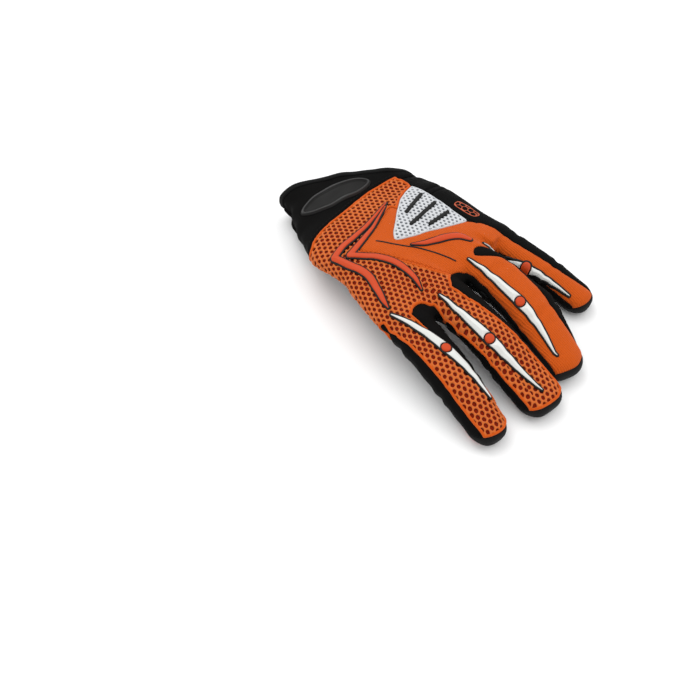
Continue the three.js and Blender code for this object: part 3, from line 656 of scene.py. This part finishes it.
class Shader:
    """A material of one colour, whose bumps and roughness are built up by its nodes."""

    def __init__(self, name, color, **sockets):
        self.material = bpy.data.materials.new(name)
        self.material.use_nodes = True
        self.tree = self.material.node_tree
        self.bsdf = self.tree.nodes["Principled BSDF"]
        self.bsdf.inputs["Base Color"].default_value = (*color, 1.0)
        for key, value in sockets.items():
            self.bsdf.inputs[key.replace("_", " ")].default_value = value
        place = self.add("ShaderNodeTexCoord").outputs["Object"]
        self.place = self.add("ShaderNodeVectorMath", place, operation="SCALE", Scale=1000.0).outputs[0]
        self.height = None

    def add(self, kind, *inputs, operation=None, **sockets):
        node = self.tree.nodes.new(kind)
        if operation:
            node.operation = operation
        for i, value in enumerate(inputs):
            self.feed(node.inputs[i], value)
        for key, value in sockets.items():
            self.feed(node.inputs[key.replace("_", " ")], value)
        return node

    def feed(self, socket, value):
        if isinstance(value, bpy.types.NodeSocket):
            self.tree.links.new(value, socket)
        else:
            socket.default_value = value

    def math(self, operation, a, b):
        return self.add("ShaderNodeMath", a, b, operation=operation).outputs[0]

    def noise(self, size, detail):
        node = self.add("ShaderNodeTexNoise", Vector=self.place, Scale=1.0 / size, Detail=detail)
        return node.outputs["Fac"]

    def cells(self, size):
        node = self.add("ShaderNodeTexVoronoi", Vector=self.place, Scale=1.0 / size)
        return node.outputs["Distance"]

    def bands(self, size, direction):
        """Soft ribs with a spacing of size, one after another along the X or Y axis of the glove."""
        scale = math.pi / 10 / size
        node = self.add(
            "ShaderNodeTexWave", Vector=self.place, Scale=scale, Distortion=0.6, Detail=1.0, Detail_Scale=0.6
        )
        node.bands_direction = direction
        return node.outputs["Fac"]

    def bump(self, height, distance):
        """A bump whose height 1 stands a distance in millimetres, on top of the bumps before it."""
        node = self.add("ShaderNodeBump", Distance=distance / 1000, Height=height)
        if self.height is not None:
            self.feed(node.inputs["Normal"], self.height)
        self.height = node.outputs[0]
        self.feed(self.bsdf.inputs["Normal"], self.height)

    def rough(self, factor, low, high):
        span = self.add("ShaderNodeMapRange", factor, To_Min=low, To_Max=high)
        self.feed(self.bsdf.inputs["Roughness"], span.outputs[0])


def cloth(name, color, rib=None, grid=None, grain=0.5, depth=0.1, sheen=0.1, gloss=0.1):
    """Woven or knitted cloth: ribs along the fingers, finer rows across, and fuzz."""
    s = Shader(name, color, Sheen_Weight=sheen, Sheen_Roughness=0.45, Specular_IOR_Level=gloss)
    if rib:
        rows = s.math("ADD", s.math("MULTIPLY", s.bands(grid, "Y"), 0.6), 0.4)
        s.bump(s.math("MULTIPLY", s.bands(rib, "X"), rows), depth)
    fuzz = s.noise(grain, 4.0)
    s.bump(fuzz, depth * 0.8)
    s.rough(fuzz, 0.75, 0.95)
    return s.material


def leather(name, color):
    s = Shader(name, color, Specular_IOR_Level=0.14)
    s.bump(s.math("MULTIPLY", s.cells(1.1), -1.0), 0.12)
    s.bump(s.noise(0.35, 4.0), 0.06)
    s.rough(s.noise(14.0, 3.0), 0.55, 0.75)
    return s.material


def rubber(name, color, rough=(0.4, 0.55), depth=0.03, gloss=0.22):
    s = Shader(name, color, Specular_IOR_Level=gloss)
    s.bump(s.noise(0.5, 3.0), depth)
    s.rough(s.noise(9.0, 3.0), *rough)
    return s.material


ORANGE_MESH = (0.5225, 0.11825, 0.022)
DARK_ORANGE = (0.198, 0.0121, 0.00165)
ORANGE_KNIT = (0.484, 0.07425, 0.00495)
ORANGE_STRETCH = (0.5082, 0.07796, 0.0052)
ORANGE_RUBBER = (0.468, 0.045, 0.0048)
ORANGE_PRINT = (0.42, 0.078, 0.03)
WHITE_MESH = (0.506, 0.517, 0.5335)
PALE_BLUE = (0.275, 0.3025, 0.341)
WHITE_RUBBER = (0.6, 0.6075, 0.585)
WHITE_THREAD = (0.4125, 0.429, 0.451)
BLACK_CLOTH = (0.00275, 0.00264, 0.00253)
BLACK_BADGE = (0.0084, 0.0081, 0.0078)


def grey(value):
    return (value, value, value)


black_rubber = rubber("black_rubber", grey(0.0024), (0.45, 0.6))
neoprene = cloth("black_neoprene", BLACK_CLOTH, 0.5, 0.5, depth=0.05, sheen=0.0, gloss=0.06)
black_thread = cloth("black_thread", grey(0.0077), grain=0.3, depth=0.05, sheen=0.03)
orange_thread = cloth("orange_thread", ORANGE_KNIT, grain=0.3, depth=0.05, sheen=0.06)

# Each look's slot and material
LOOKS = {
    "mesh_net": ("orange_mesh", cloth("air_mesh_net", ORANGE_MESH, grain=0.7, depth=0.14, sheen=0.15)),
    "mesh_backing": ("orange_mesh", cloth("air_mesh_backing", DARK_ORANGE, grain=0.6, sheen=0.0)),
    "mesh_thread": ("orange_mesh", orange_thread),
    "knit": ("orange_knit", cloth("orange_knit", ORANGE_KNIT, 1.4, 1.1, depth=0.3, sheen=0.06)),
    "knit_thread": ("orange_knit", orange_thread),
    "smooth": ("orange_mesh", cloth("orange_stretch", ORANGE_STRETCH, 0.6, 0.6, depth=0.05)),
    "white_net": ("white_panel", cloth("white_mesh_net", WHITE_MESH, grain=0.7)),
    "white_backing": ("white_panel", cloth("white_mesh_backing", PALE_BLUE, grain=0.6, sheen=0.0)),
    "white_thread": ("white_panel", cloth("white_thread", WHITE_THREAD, grain=0.3, depth=0.05)),
    "neoprene": ("black_neoprene", neoprene),
    "black_thread": ("black_neoprene", black_thread),
    "leather": ("palm_leather", leather("palm_leather", grey(0.0032))),
    "tape": ("binding_tape", cloth("binding_tape", grey(0.00605), 0.9, 0.9, depth=0.15, sheen=0.03)),
    "orange": ("orange_rubber", rubber("orange_rubber", ORANGE_RUBBER)),
    "print": ("orange_rubber", rubber("print_rubber", ORANGE_PRINT)),
    "bone": ("white_rubber", rubber("white_rubber", WHITE_RUBBER, (0.32, 0.45), gloss=0.35)),
    "black": ("black_rubber", black_rubber),
    "tab": ("tab_rubber", black_rubber),
    "badge": ("badge_rubber", rubber("badge_rubber", BLACK_BADGE, (0.5, 0.65), depth=0.06, gloss=0.15)),
    "badge_rim": ("badge_rubber", rubber("badge_rim_rubber", grey(0.003), (0.25, 0.4), gloss=0.5)),
}

# Making of pieces

CLOTH_LOW = 0.35


def add_mesh(name, p, t, look, nodes=(), keep=1.0, low=0.0):
    """A piece in the row frame, riding on the root body, with a share of its triangles kept."""
    slot, material = LOOKS[look]
    points = np.array(p, float)
    points[:, 2] = np.maximum(points[:, 2], low)
    points = (points + ORIGIN) / 1000
    t = np.asarray(t, np.int32)
    mesh = bpy.data.meshes.new(name)
    mesh.vertices.add(len(points))
    mesh.vertices.foreach_set("co", points.ravel())
    mesh.loops.add(t.size)
    mesh.loops.foreach_set("vertex_index", t.ravel())
    mesh.polygons.add(len(t))
    mesh.polygons.foreach_set("loop_start", np.arange(0, t.size, 3, dtype=np.int32))
    mesh.polygons.foreach_set("use_smooth", np.full(len(t), True))
    mesh.update(calc_edges=True)
    mesh.validate()
    obj = placed(name, mesh)
    mesh.materials.append(material)
    if keep < 1:
        obj.modifiers.new("fewer", "DECIMATE").ratio = keep
        graph = bpy.context.evaluated_depsgraph_get()
        obj.data = bpy.data.meshes.new_from_object(obj.evaluated_get(graph))
        obj.modifiers.clear()
        bpy.data.meshes.remove(mesh)
    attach(obj, "root")
    if nodes:
        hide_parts(*nodes)


def add_sheet(name, skin, outside, inside, look, nodes=(), keep=1.0, low=0.0):
    """A closed sheet from a skin, its faces at two offsets along the normals."""
    p, n, t = skin
    n, size = unit(n), len(p)
    points = [p + n * np.broadcast_to(offset, size)[:, None] for offset in (outside, inside)]
    a, b = border(t).T
    sides = [np.stack([b, a, a + size], 1), np.stack([b, a + size, b + size], 1)]
    add_mesh(name, np.vstack(points), np.vstack([t, t[:, ::-1] + size, *sides]), look, nodes, keep, low)


def round_edge(d, radius):
    """0 at an edge and 1 beyond a radius, with a quarter circle between."""
    return np.sqrt(np.clip(1 - (1 - np.clip(d / radius, 0, 1)) ** 2, 0, 1))


def add_cloth(name, skin, look, node, puff=0.15, keep=0.4):
    """A sewn panel whose edges roll down into the seam."""
    d = edge_distance(skin)
    edge = round_edge(d, 1.5)
    outside = -0.6 + 0.6 * edge + puff * ease(d, 0.8, 4.0)
    inside = np.minimum(-1.7 + 0.5 * (1 - edge), outside - 0.3)
    add_sheet(name, skin, outside, inside, look, [node], keep, CLOTH_LOW)


def relief(name, source, field_of, profile, look, nodes=(), sunk=0.6, splits=2, keep=1.0):
    """A moulded piece on a skin of the glove, inside an outline seen from above."""
    p, n, t = source
    skin = compact(p, n, t[(field_of(p[:, :2])[t] > -2.2).any(1)])
    for _ in range(splits):
        skin = finer(skin)
    skin = cut(skin, field_of(skin[0][:, :2]), snap=0.02)
    d = np.maximum(field_of(skin[0][:, :2]), 0)
    add_sheet(name, skin, profile(d), -sunk, look, nodes, keep)


# The skin and its panels

TAPE_WIDTH = 4.0
WHITE_CORNER = 2.2

skin = outer_skin()
points, normals, triangles = skin
points = points + normals * folds(points, normals)[:, None]
x, y = points[:, 0], points[:, 1]
points[:, 0] = x - CUFF_PULL * ease(x, 22, 50) * ease(y, -30, -8) * ease(38 - y, 0, 18)
points[:, 2] = np.maximum(points[:, 2], SKIN_LOW)
skin = (points, normals_of(points, triangles), triangles)
glove = cut(skin, -past_edge(skin[0]))
binding, inner_glove = both(glove, lambda p: past_edge(p) + TAPE_WIDTH)
cuff, body = both(inner_glove, cuff_side)
back, lower = both(body, above_field)
white, rest = both(back, panel_field, "white", (), WHITE_CORNER)
knit, rest = both(rest, panel_field, "knit", ("ring", "little"))
mesh, rest = both(rest, panel_field, "mesh", ("index", "middle"))
little_side, rest = both(rest, divide_field, "little")
leaf_rl, rest = both(rest, divide_field, "ring")
leaf_mr, rest = both(rest, divide_field, "middle")
leaf_im, index_side = both(rest, divide_field, "index")
thumb, palm = both(lower, thumb_field)
thumb_knit, thumb = both(thumb, inlay_field, "thumb", 0.22, 0.46, 0.32, 8.5)
thumb_patch, thumb = both(thumb, inlay_field, "thumb", 0.52, 0.88, 0.28, 4.2)

for details in (
    ("palm_leather", palm, "leather", "palm_panel"),
    ("thumb_leather", thumb, "leather", "thumb_shell"),
    ("thumb_knit_cloth", thumb_knit, "knit", "thumb_knit"),
    ("thumb_patch_cloth", thumb_patch, "knit", "thumb_patch"),
    ("knit_cloth", knit, "knit", "back_knit_panel", 0.25, 0.6),
    ("cuff_cloth", cuff, "neoprene", "cuff", 0.2),
    ("little_side_cloth", little_side, "neoprene", "little_side_panel"),
    ("index_side_cloth", index_side, "neoprene", "index_side_panel"),
    ("leaf_index_middle", leaf_im, "neoprene", "fourchette_index_middle"),
    ("leaf_middle_ring", leaf_mr, "neoprene", "fourchette_middle_ring"),
    ("leaf_ring_little", leaf_rl, "neoprene", "fourchette_ring_little"),
):
    add_cloth(*details)

# Binding tape folded over the cuff's edge
edge_in = -past_edge(binding[0])
roll = round_edge(edge_in, 1.4)
seam = round_edge(TAPE_WIDTH - edge_in, 0.8)
tape_outside = -1.1 + 1.9 * roll - 0.5 * (1 - seam)
tape_inside = -1.1 - 1.6 * roll + 0.4 * (1 - seam)
add_sheet("cuff_tape", binding, tape_outside, tape_inside, "tape", ["cuff_binding"])


# Air mesh: a net with open holes over a backing


def crest_extra(local, power):
    """How much longer the way round a tube is than straight across, from its crest to a point."""
    _, across, up, wide, high = local
    turn = np.linspace(0, math.pi / 2, 60)
    x, y = np.sin(turn) ** (2 / power), np.cos(turn) ** (2 / power)
    w, h = np.median(wide), np.median(high)
    length = np.concatenate([[0], np.cumsum(np.hypot(np.diff(x) * w, np.diff(y) * h))])
    place = np.arctan2(
        np.clip(np.abs(across) / wide, 0, None) ** (power / 2),
        np.clip(up / high, 0, None) ** (power / 2),
    )
    return np.sign(across) * (np.interp(place, turn, length) - np.interp(place, turn, x * w))


def unrolled(p):
    """Where a point lies on the cloth before it was bent round the hand."""
    at = ease(p[:, 1], 82, 104)
    on_back = crest_extra(hand_local(p), HAND_POWER) * ease(p[:, 0], 30, 45)
    index, middle = (crest_extra(digit_local(name, p), DIGIT_POWER) for name in ("index", "middle"))
    on_finger = np.where(divide_field(p, "middle") < 0, index, middle)
    return np.column_stack([p[:, 0] + on_back * (1 - at) + on_finger * at, p[:, 1]])


def hex_cell(q, pitch):
    """The middle of the nearest cell of a honeycomb, and the way to it."""
    step = np.array([pitch, pitch * math.sqrt(3)])
    first = np.round(q / step) * step
    second = (np.round(q / step - 0.5) + 0.5) * step
    nearer = ((q - first) ** 2).sum(1) < ((q - second) ** 2).sum(1)
    centre = np.where(nearer[:, None], first, second)
    return centre, q - centre


def air_mesh(name, skin, pitch, radius, nodes, rim=1.6, backing_keep=0.3):
    """A net with open holes, a backing behind it, and a plain rim along the seams."""
    gap = edge_distance(skin)
    centre, way = hex_cell(unrolled(skin[0]), pitch)
    jitter = np.sin(centre[:, 0] * 12.99 + centre[:, 1] * 78.23)
    away = np.hypot(way[:, 0] * 1.06, way[:, 1] * 0.94)
    hole = np.maximum(away - radius - 0.06 * jitter, rim - gap)
    net = cut(skin, hole, snap=0.05)
    rise = round_edge(edge_distance(net, 3.0), 0.7)
    seam = nearest_of(gap, skin[0], net[0])
    outside = np.where(seam < 0.4, -0.6 + 0.6 * round_edge(seam, 1.5), -0.35 + 0.5 * rise)
    add_sheet(f"{name}_net", net, outside, np.minimum(outside - 0.3, -0.85), f"{name}_net", nodes)
    add_sheet(f"{name}_backing", skin, -1.15, -1.75, f"{name}_backing", keep=backing_keep)


air_mesh("mesh", mesh, 3.9, 1.38, ["back_mesh_panel"])
air_mesh("white", finer(white), 3.3, 0.85, ["white_panel"], 1.2, 0.1)

# Rolled edge of the mesh along the cuff and the thumb side
ROLL_RADIUS = 0.95
mesh_gap = edge_distance(mesh)
rim = cut(mesh, 2 * ROLL_RADIUS - mesh_gap)
rim_gap = nearest_of(mesh_gap, mesh[0], rim[0])
rim_rise = np.sqrt(np.clip(1 - (1 - rim_gap / ROLL_RADIUS) ** 2, 0, 1))
add_sheet("mesh_rim", rim, -0.3 + rim_rise, -0.6, "smooth", keep=0.6)

# Moulded ribs, bars, bones and the badge

# Width of the black strip round each rib: partly its real thin dark border, widened all round with painted
# shadow
OUTLINE_AND_SHADOW_WIDTH = 0.95
PIPING_HALF = 0.6
BAR_HALF = 1.35
DISC_RADIUS = 3.0
DISC_GAP = 0.75
# How far the black bed reaches past a bone: partly its real black base, partly painted shadow round the bone
BED_AND_SHADOW_MARGIN = 1.15


def arms_field(arms, grow=0.0):
    lines = []
    for arm in map(np.array, arms):
        lines.append(smooth_line(np.column_stack([on_hand(arm[:, :2]), arm[:, 2]]), 6))
    return lambda xy: np.maximum.reduce([ribbon_field(xy, line) for line in lines]) + grow


def chevron_profile(d):
    return 0.4 + 1.25 * round_edge(d, 1.1) + 0.3 * ease(d, 0.8, 2.4)


def low_profile(height, radius=0.5):
    return lambda d: 0.1 + height * round_edge(d, radius)


for name, arms in RIBS.items():
    relief(name + "_rib", back, arms_field(arms), chevron_profile, "orange", [name], keep=0.5)
    # Black strip round the rib: partly its real dark border, partly painted shadow beside the rib
    relief(name + "_outline_and_shadow", back, arms_field(arms, OUTLINE_AND_SHADOW_WIDTH), low_profile(0.8), "black", splits=1)

piping_line = np.column_stack([smooth_line(PIPING, 6), np.full(25, PIPING_HALF)])
relief("dark_piping", back, lambda xy: ribbon_field(xy, piping_line), low_profile(0.6, 0.45), "black")

for i, ends in enumerate(PANEL_BARS, 1):
    line = np.column_stack([np.linspace(*on_hand(ends), 3), np.full(3, BAR_HALF)])
    relief(
        f"white_panel_bar_{i}", back, lambda xy, line=line: ribbon_field(xy, line), low_profile(1.2, 0.8),
        "black", [f"panel_bar_{i}"],
    )


def bone_fields(name):
    """Fields of a bone's bed, whose black base reaches past the bone as painted shadow, and of its rear
    part, front part and disc.
    """
    spine, thickness = BONES[name]
    share = np.array(spine)
    bend = np.polyfit(share[:, 0], share[:, 1], 3)
    at = np.linspace(share[0, 0], share[-1, 0], 41)
    line = digit_plan(name, at, np.polyval(bend, at))
    dot = int(np.argmin(np.abs(at - share[2, 0])))
    middle = line[dot]
    length = np.linalg.norm(line - middle, axis=1)
    total = np.where(np.arange(len(line)) < dot, length[0], length[-1])
    line = np.column_stack([line, thickness * (1 - length / total) ** 0.85 + 0.3])

    def disc(xy):
        return DISC_RADIUS - np.linalg.norm(xy - middle, axis=1)

    def bed(xy):
        return np.maximum(ribbon_field(xy, line), disc(xy) + 0.1) + BED_AND_SHADOW_MARGIN

    def part(piece):
        return lambda xy: np.minimum(ribbon_field(xy, piece), -disc(xy) - DISC_GAP)

    return bed, part(line[: dot + 1]), part(line[dot:]), disc


def bone_profile(d):
    return 0.7 + 0.5 * round_edge(d, 0.45) + 0.42 * d


def disc_profile(d):
    return 0.8 + 1.1 * round_edge(d, 1.2) + 0.1 * d


for name in FINGERS:
    bed, rear, front, disc = bone_fields(name)
    # Black bed: the bone's real black base, widened with painted shadow round the bone
    relief(f"bone_bed_and_shadow_{name}", back, bed, low_profile(0.75), "black", [f"bone_base_{name}"], splits=1)
    relief(f"bone_{name}_rear", back, rear, bone_profile, "bone", [f"bone_rear_{name}"])
    relief(f"bone_{name}_front", back, front, bone_profile, "bone", [f"bone_front_{name}"])
    relief(f"bone_disc_{name}", back, disc, disc_profile, "orange", [f"bone_dot_{name}"])

turn = math.radians(BADGE["turn"])
badge_axes = np.array([[math.cos(turn), math.sin(turn)], [-math.sin(turn), math.cos(turn)]])
badge_middle = on_hand([BADGE["across"], BADGE["along"]])


def badge_field(xy):
    q = (xy - badge_middle) @ badge_axes.T
    a, b = BADGE["half_length"], BADGE["half_width"]
    spread = np.hypot(q[:, 0] / a, q[:, 1] / b)
    slope = np.hypot(q[:, 0] / a**2, q[:, 1] / b**2) / np.maximum(spread, 1e-6)
    return (1 - spread) / np.maximum(slope, 1 / a)


def badge_profile(d):
    return 0.5 + 0.8 * round_edge(d, 0.8) - 0.45 * ease(d, 3.2, 3.7)


cuff_tilt = cuff[1][cuff[2]].mean(1)[:, 2]
cuff_top = compact(cuff[0], cuff[1], cuff[2][cuff_tilt > 0.1])
cuff_bottom = compact(cuff[0], cuff[1], cuff[2][cuff_tilt < -0.5])
relief("badge_plate", cuff_top, badge_field, badge_profile, "badge", ["badge_base"], keep=0.35)
relief(
    "badge_ring", cuff_top, lambda xy: np.minimum(badge_field(xy) - 0.9, 2.4 - badge_field(xy)),
    lambda d: 1.2 + 0.9 * round_edge(d, 0.7), "badge_rim", ["badge_rim"],
)

# Strap and pull tab under the cuff
strap_side = STRAP["half_width"] - np.abs(-past_edge(cuff[0]) - STRAP["inset"])
strap = cut(cuff, np.minimum(strap_side, STRAP["top"] - cuff[0][:, 2]))
strap_rise = round_edge(edge_distance(strap), 1.2)
add_sheet("strap_band", strap, 0.5 + 1.3 * strap_rise, 0.25, "neoprene", ["wrist_strap"])

edge_ends = on_hand([OUTLINES["cuff_edge"][0], OUTLINES["cuff_edge"][-1]])
tab_along = unit(edge_ends[1] - edge_ends[0])
tab_in = np.array([tab_along[1], -tab_along[0]])
tab_middle = on_hand(OUTLINES["cuff_edge"][2]) + tab_in * STRAP["inset"] + tab_along * TAB["offset"]


def tab_field(xy):
    q = xy - tab_middle
    x = np.abs(q @ tab_along) - (TAB["half_length"] - TAB["corner"])
    y = np.abs(q @ tab_in) - (TAB["half_width"] - TAB["corner"])
    outside = np.hypot(np.maximum(x, 0), np.maximum(y, 0))
    return TAB["corner"] - outside - np.minimum(np.maximum(x, y), 0)


def tab_profile(d):
    return 1.8 + 1.5 * round_edge(d, 0.8) - 0.5 * ease(d, 1.8, 2.3)


relief(
    "strap_pull_tab", cuff_bottom, tab_field, tab_profile, "tab", ["strap_tab"],
    sunk=-1.9, splits=1, keep=0.6,
)

# Fingertip grips with slits, and honeycomb prints

SLIT_PITCH = 1.9
SLIT_HALF = 0.35
PALM_PRINT = [
    (-43, 36), (-8, 30), (17, 38), (20, 66), (6, 84), (-3, 70), (-14, 68), (-20, 84), (-36, 82), (-45, 62),
]
SIDE_PRINT = [(-30, 72), (-30.5, 82), (-32, 90), (-38, 91), (-38, 79), (-37, 71)]


def grip_field(p, name):
    at = digit_local(name, p)[0]
    shape = inlay_field(p, name, 0.78, 0.95, 0.3, 8.0)
    slit = SLIT_HALF - np.abs((at * DIGITS[name]["length"]) % SLIT_PITCH - SLIT_PITCH / 2)
    return np.minimum(shape, -np.minimum(slit, shape - 1.4))


for name in ("index", "middle"):
    part = finer(cut(palm, inlay_field(palm[0], name, 0.75, 0.98, 0.34, 9.0)))
    part = cut(part, grip_field(part[0], name), snap=0.03)
    grip_rise = round_edge(edge_distance(part, 2.0), 0.35)
    add_sheet(
        f"fingertip_print_{name}", part, 0.12 + 0.4 * grip_rise, -0.4, "orange", [f"fingertip_grip_{name}"]
    )


def honeycomb(outline, corner, pitch, half):
    """Lines of a honeycomb inside an outline, with a line round it."""
    outline = rounded(outline, corner)
    turns = np.radians([0, 60, 120])

    def field(xy):
        _, way = hex_cell(xy, pitch)
        reach = np.abs(way @ np.stack([np.cos(turns), np.sin(turns)])).max(1)
        line = half - (pitch / 2 - reach)
        inside = polygon_field(xy, outline)
        return np.maximum(np.minimum(line, inside), half * 1.3 - np.abs(inside - half * 1.3))

    return field


def print_profile(d):
    return 0.12 + 0.2 * round_edge(d, 0.25)


for name, panel, field, keep in (
    ("palm_honeycomb", palm, honeycomb(PALM_PRINT, 4, 4.7, 0.3), 0.7),
    ("side_honeycomb", little_side, honeycomb(SIDE_PRINT, 3, 4.2, 0.28), 1.0),
):
    relief(name, panel, field, print_profile, "print", sunk=0.3, splits=1, keep=keep)

# Stitches on the back

STITCH_SPACING = 3.1
STITCH_LENGTH = 2.1
STITCH_RADIUS = 0.24
STITCH_RINGS = [(-1, 0.45), (-0.75, 0.85), (0, 1.0), (0.75, 0.85), (1, 0.45)]

back_tree = BVHTree.FromPolygons(back[0].tolist(), back[2].tolist())
cuff_tree = BVHTree.FromPolygons(cuff_top[0].tolist(), cuff_top[2].tolist())


def stitches(name, line, inset, look, tree=back_tree):
    """A row of stitches lying on the glove, an inset to the left of a line seen from above."""
    along = unit(np.gradient(line, axis=0))
    line = line + np.column_stack([-along[:, 1], along[:, 0]]) * inset
    steps = np.concatenate([[0], np.cumsum(np.linalg.norm(np.diff(line, axis=0), axis=1))])
    points, triangles = [], []
    for s in np.arange(STITCH_SPACING / 2, steps[-1], STITCH_SPACING):
        ends = [s - STITCH_LENGTH / 2, s + STITCH_LENGTH / 2]
        ends = zip(*(np.interp(ends, steps, line[:, axis]) for axis in (0, 1)))
        hits = [tree.ray_cast(Vector((x, y, 80)), Vector((0, 0, -1))) for x, y in ends]
        if any(hit[0] is None for hit in hits) or abs(hits[0][0].z - hits[1][0].z) > 1.5:
            continue
        a, b = (np.array(hit[0]) for hit in hits)
        up = unit(np.array(hits[0][1]) + np.array(hits[1][1]))
        way = (b - a) / 2
        side = np.cross(unit(way), up)
        start = len(points)
        for t, share in STITCH_RINGS:
            lift = 0.22 - 0.3 * t * t
            for turn in np.arange(6) * math.pi / 3:
                point = (a + b) / 2 + way * t + up * (lift + STITCH_RADIUS * share * math.sin(turn))
                points.append(point + side * STITCH_RADIUS * share * math.cos(turn))
        for r in range(start, start + 24, 6):
            for k in range(6):
                i, j = r + k, r + (k + 1) % 6
                triangles += [(i, i + 6, j), (j, i + 6, j + 6)]
        for k in range(1, 5):
            triangles.append((start, start + k, start + k + 1))
            triangles.append((start + 24, start + 25 + k, start + 24 + k))
    add_mesh(name, points, triangles, look)


seam_line = smooth_line(on_hand(OUTLINES["cuff_seam"][1:9]), 6)
white_line = rounded(on_hand(OUTLINES["white"]), WHITE_CORNER)
knit_line = rounded(on_hand(OUTLINES["knit"][:9]), 5, closed=False)
stitches("cuff_seam_stitches", seam_line, 2.2, "black_thread", cuff_tree)
stitches("mesh_seam_stitches", seam_line, -1.5, "mesh_thread")
stitches("white_panel_stitches", np.vstack([white_line, white_line[:1]]), 1.5, "white_thread")
stitches("knit_seam_stitches", knit_line, 1.4, "knit_thread")

# Floor, light and camera

MIDDLE = np.array([0.0, 0.0, 0.02])
RIGHT = np.array([-0.71934, 0.69466, 0.0])
UP = np.array([-0.69466, -0.71934, 0.0])
CAMERA_PLACE = [451.46, 471.427, 669.809]
CAMERA_AIM = [87.937, 94.988, 0.0]


def floor_material():
    """Almost white paper, with faint wide clouds."""
    s = Shader("floor_paper", (0.87, 0.87, 0.87), Roughness=0.9, Specular_IOR_Level=0.1)
    node = s.tree.nodes.new("ShaderNodeMix")
    node.data_type = "RGBA"
    for i, value in ((0, s.noise(900.0, 2.0)), (6, (0.86, 0.86, 0.86, 1.0)), (7, (0.88, 0.88, 0.88, 1.0))):
        s.feed(node.inputs[i], value)
    s.feed(s.bsdf.inputs["Base Color"], node.outputs[2])
    return s.material


floor_mesh = bpy.data.meshes.new("floor")
floor_mesh.from_pydata([(-6, -6, 0), (6, -6, 0), (6, 6, 0), (-6, 6, 0)], [], [(0, 1, 2, 3)])
floor = placed("floor", floor_mesh)
floor_mesh.materials.append(floor_material())

world = bpy.data.worlds.new("studio")
bpy.context.scene.world = world
world.use_nodes = True
background = world.node_tree.nodes["Background"]
background.inputs["Color"].default_value = (1.0, 1.0, 1.0, 1.0)
background.inputs["Strength"].default_value = 1.12


def aimed(name, data, place, aim):
    """A light or a camera at a place, looking at another."""
    obj = placed(name, data)
    obj.location = place
    obj.rotation_mode = "QUATERNION"
    obj.rotation_quaternion = Vector(aim - place).to_track_quat("-Z", "Y")
    return obj


def softbox(name, right, up, height, size, power):
    """A square light placed to the right of and beyond the glove, as the camera sees it."""
    data = bpy.data.lights.new(name, "AREA")
    data.size = size
    data.energy = power
    aimed(name, data, MIDDLE + RIGHT * right + UP * up + np.array([0, 0, height]), MIDDLE)


softbox("key", -0.5, 0.7, 1.3, 1.1, 9.0)
softbox("fill", 0.9, 0.2, 1.1, 1.2, 3.5)

camera_data = bpy.data.cameras.new("camera")
camera_data.sensor_width = 36.0
camera_data.lens = 67.757
camera_data.clip_start, camera_data.clip_end = 0.05, 20.0
camera = aimed("camera", camera_data, (ORIGIN + CAMERA_PLACE) / 1000, (ORIGIN + CAMERA_AIM) / 1000)
bpy.context.scene.camera = camera
bpy.context.scene.view_settings.view_transform = "Standard"
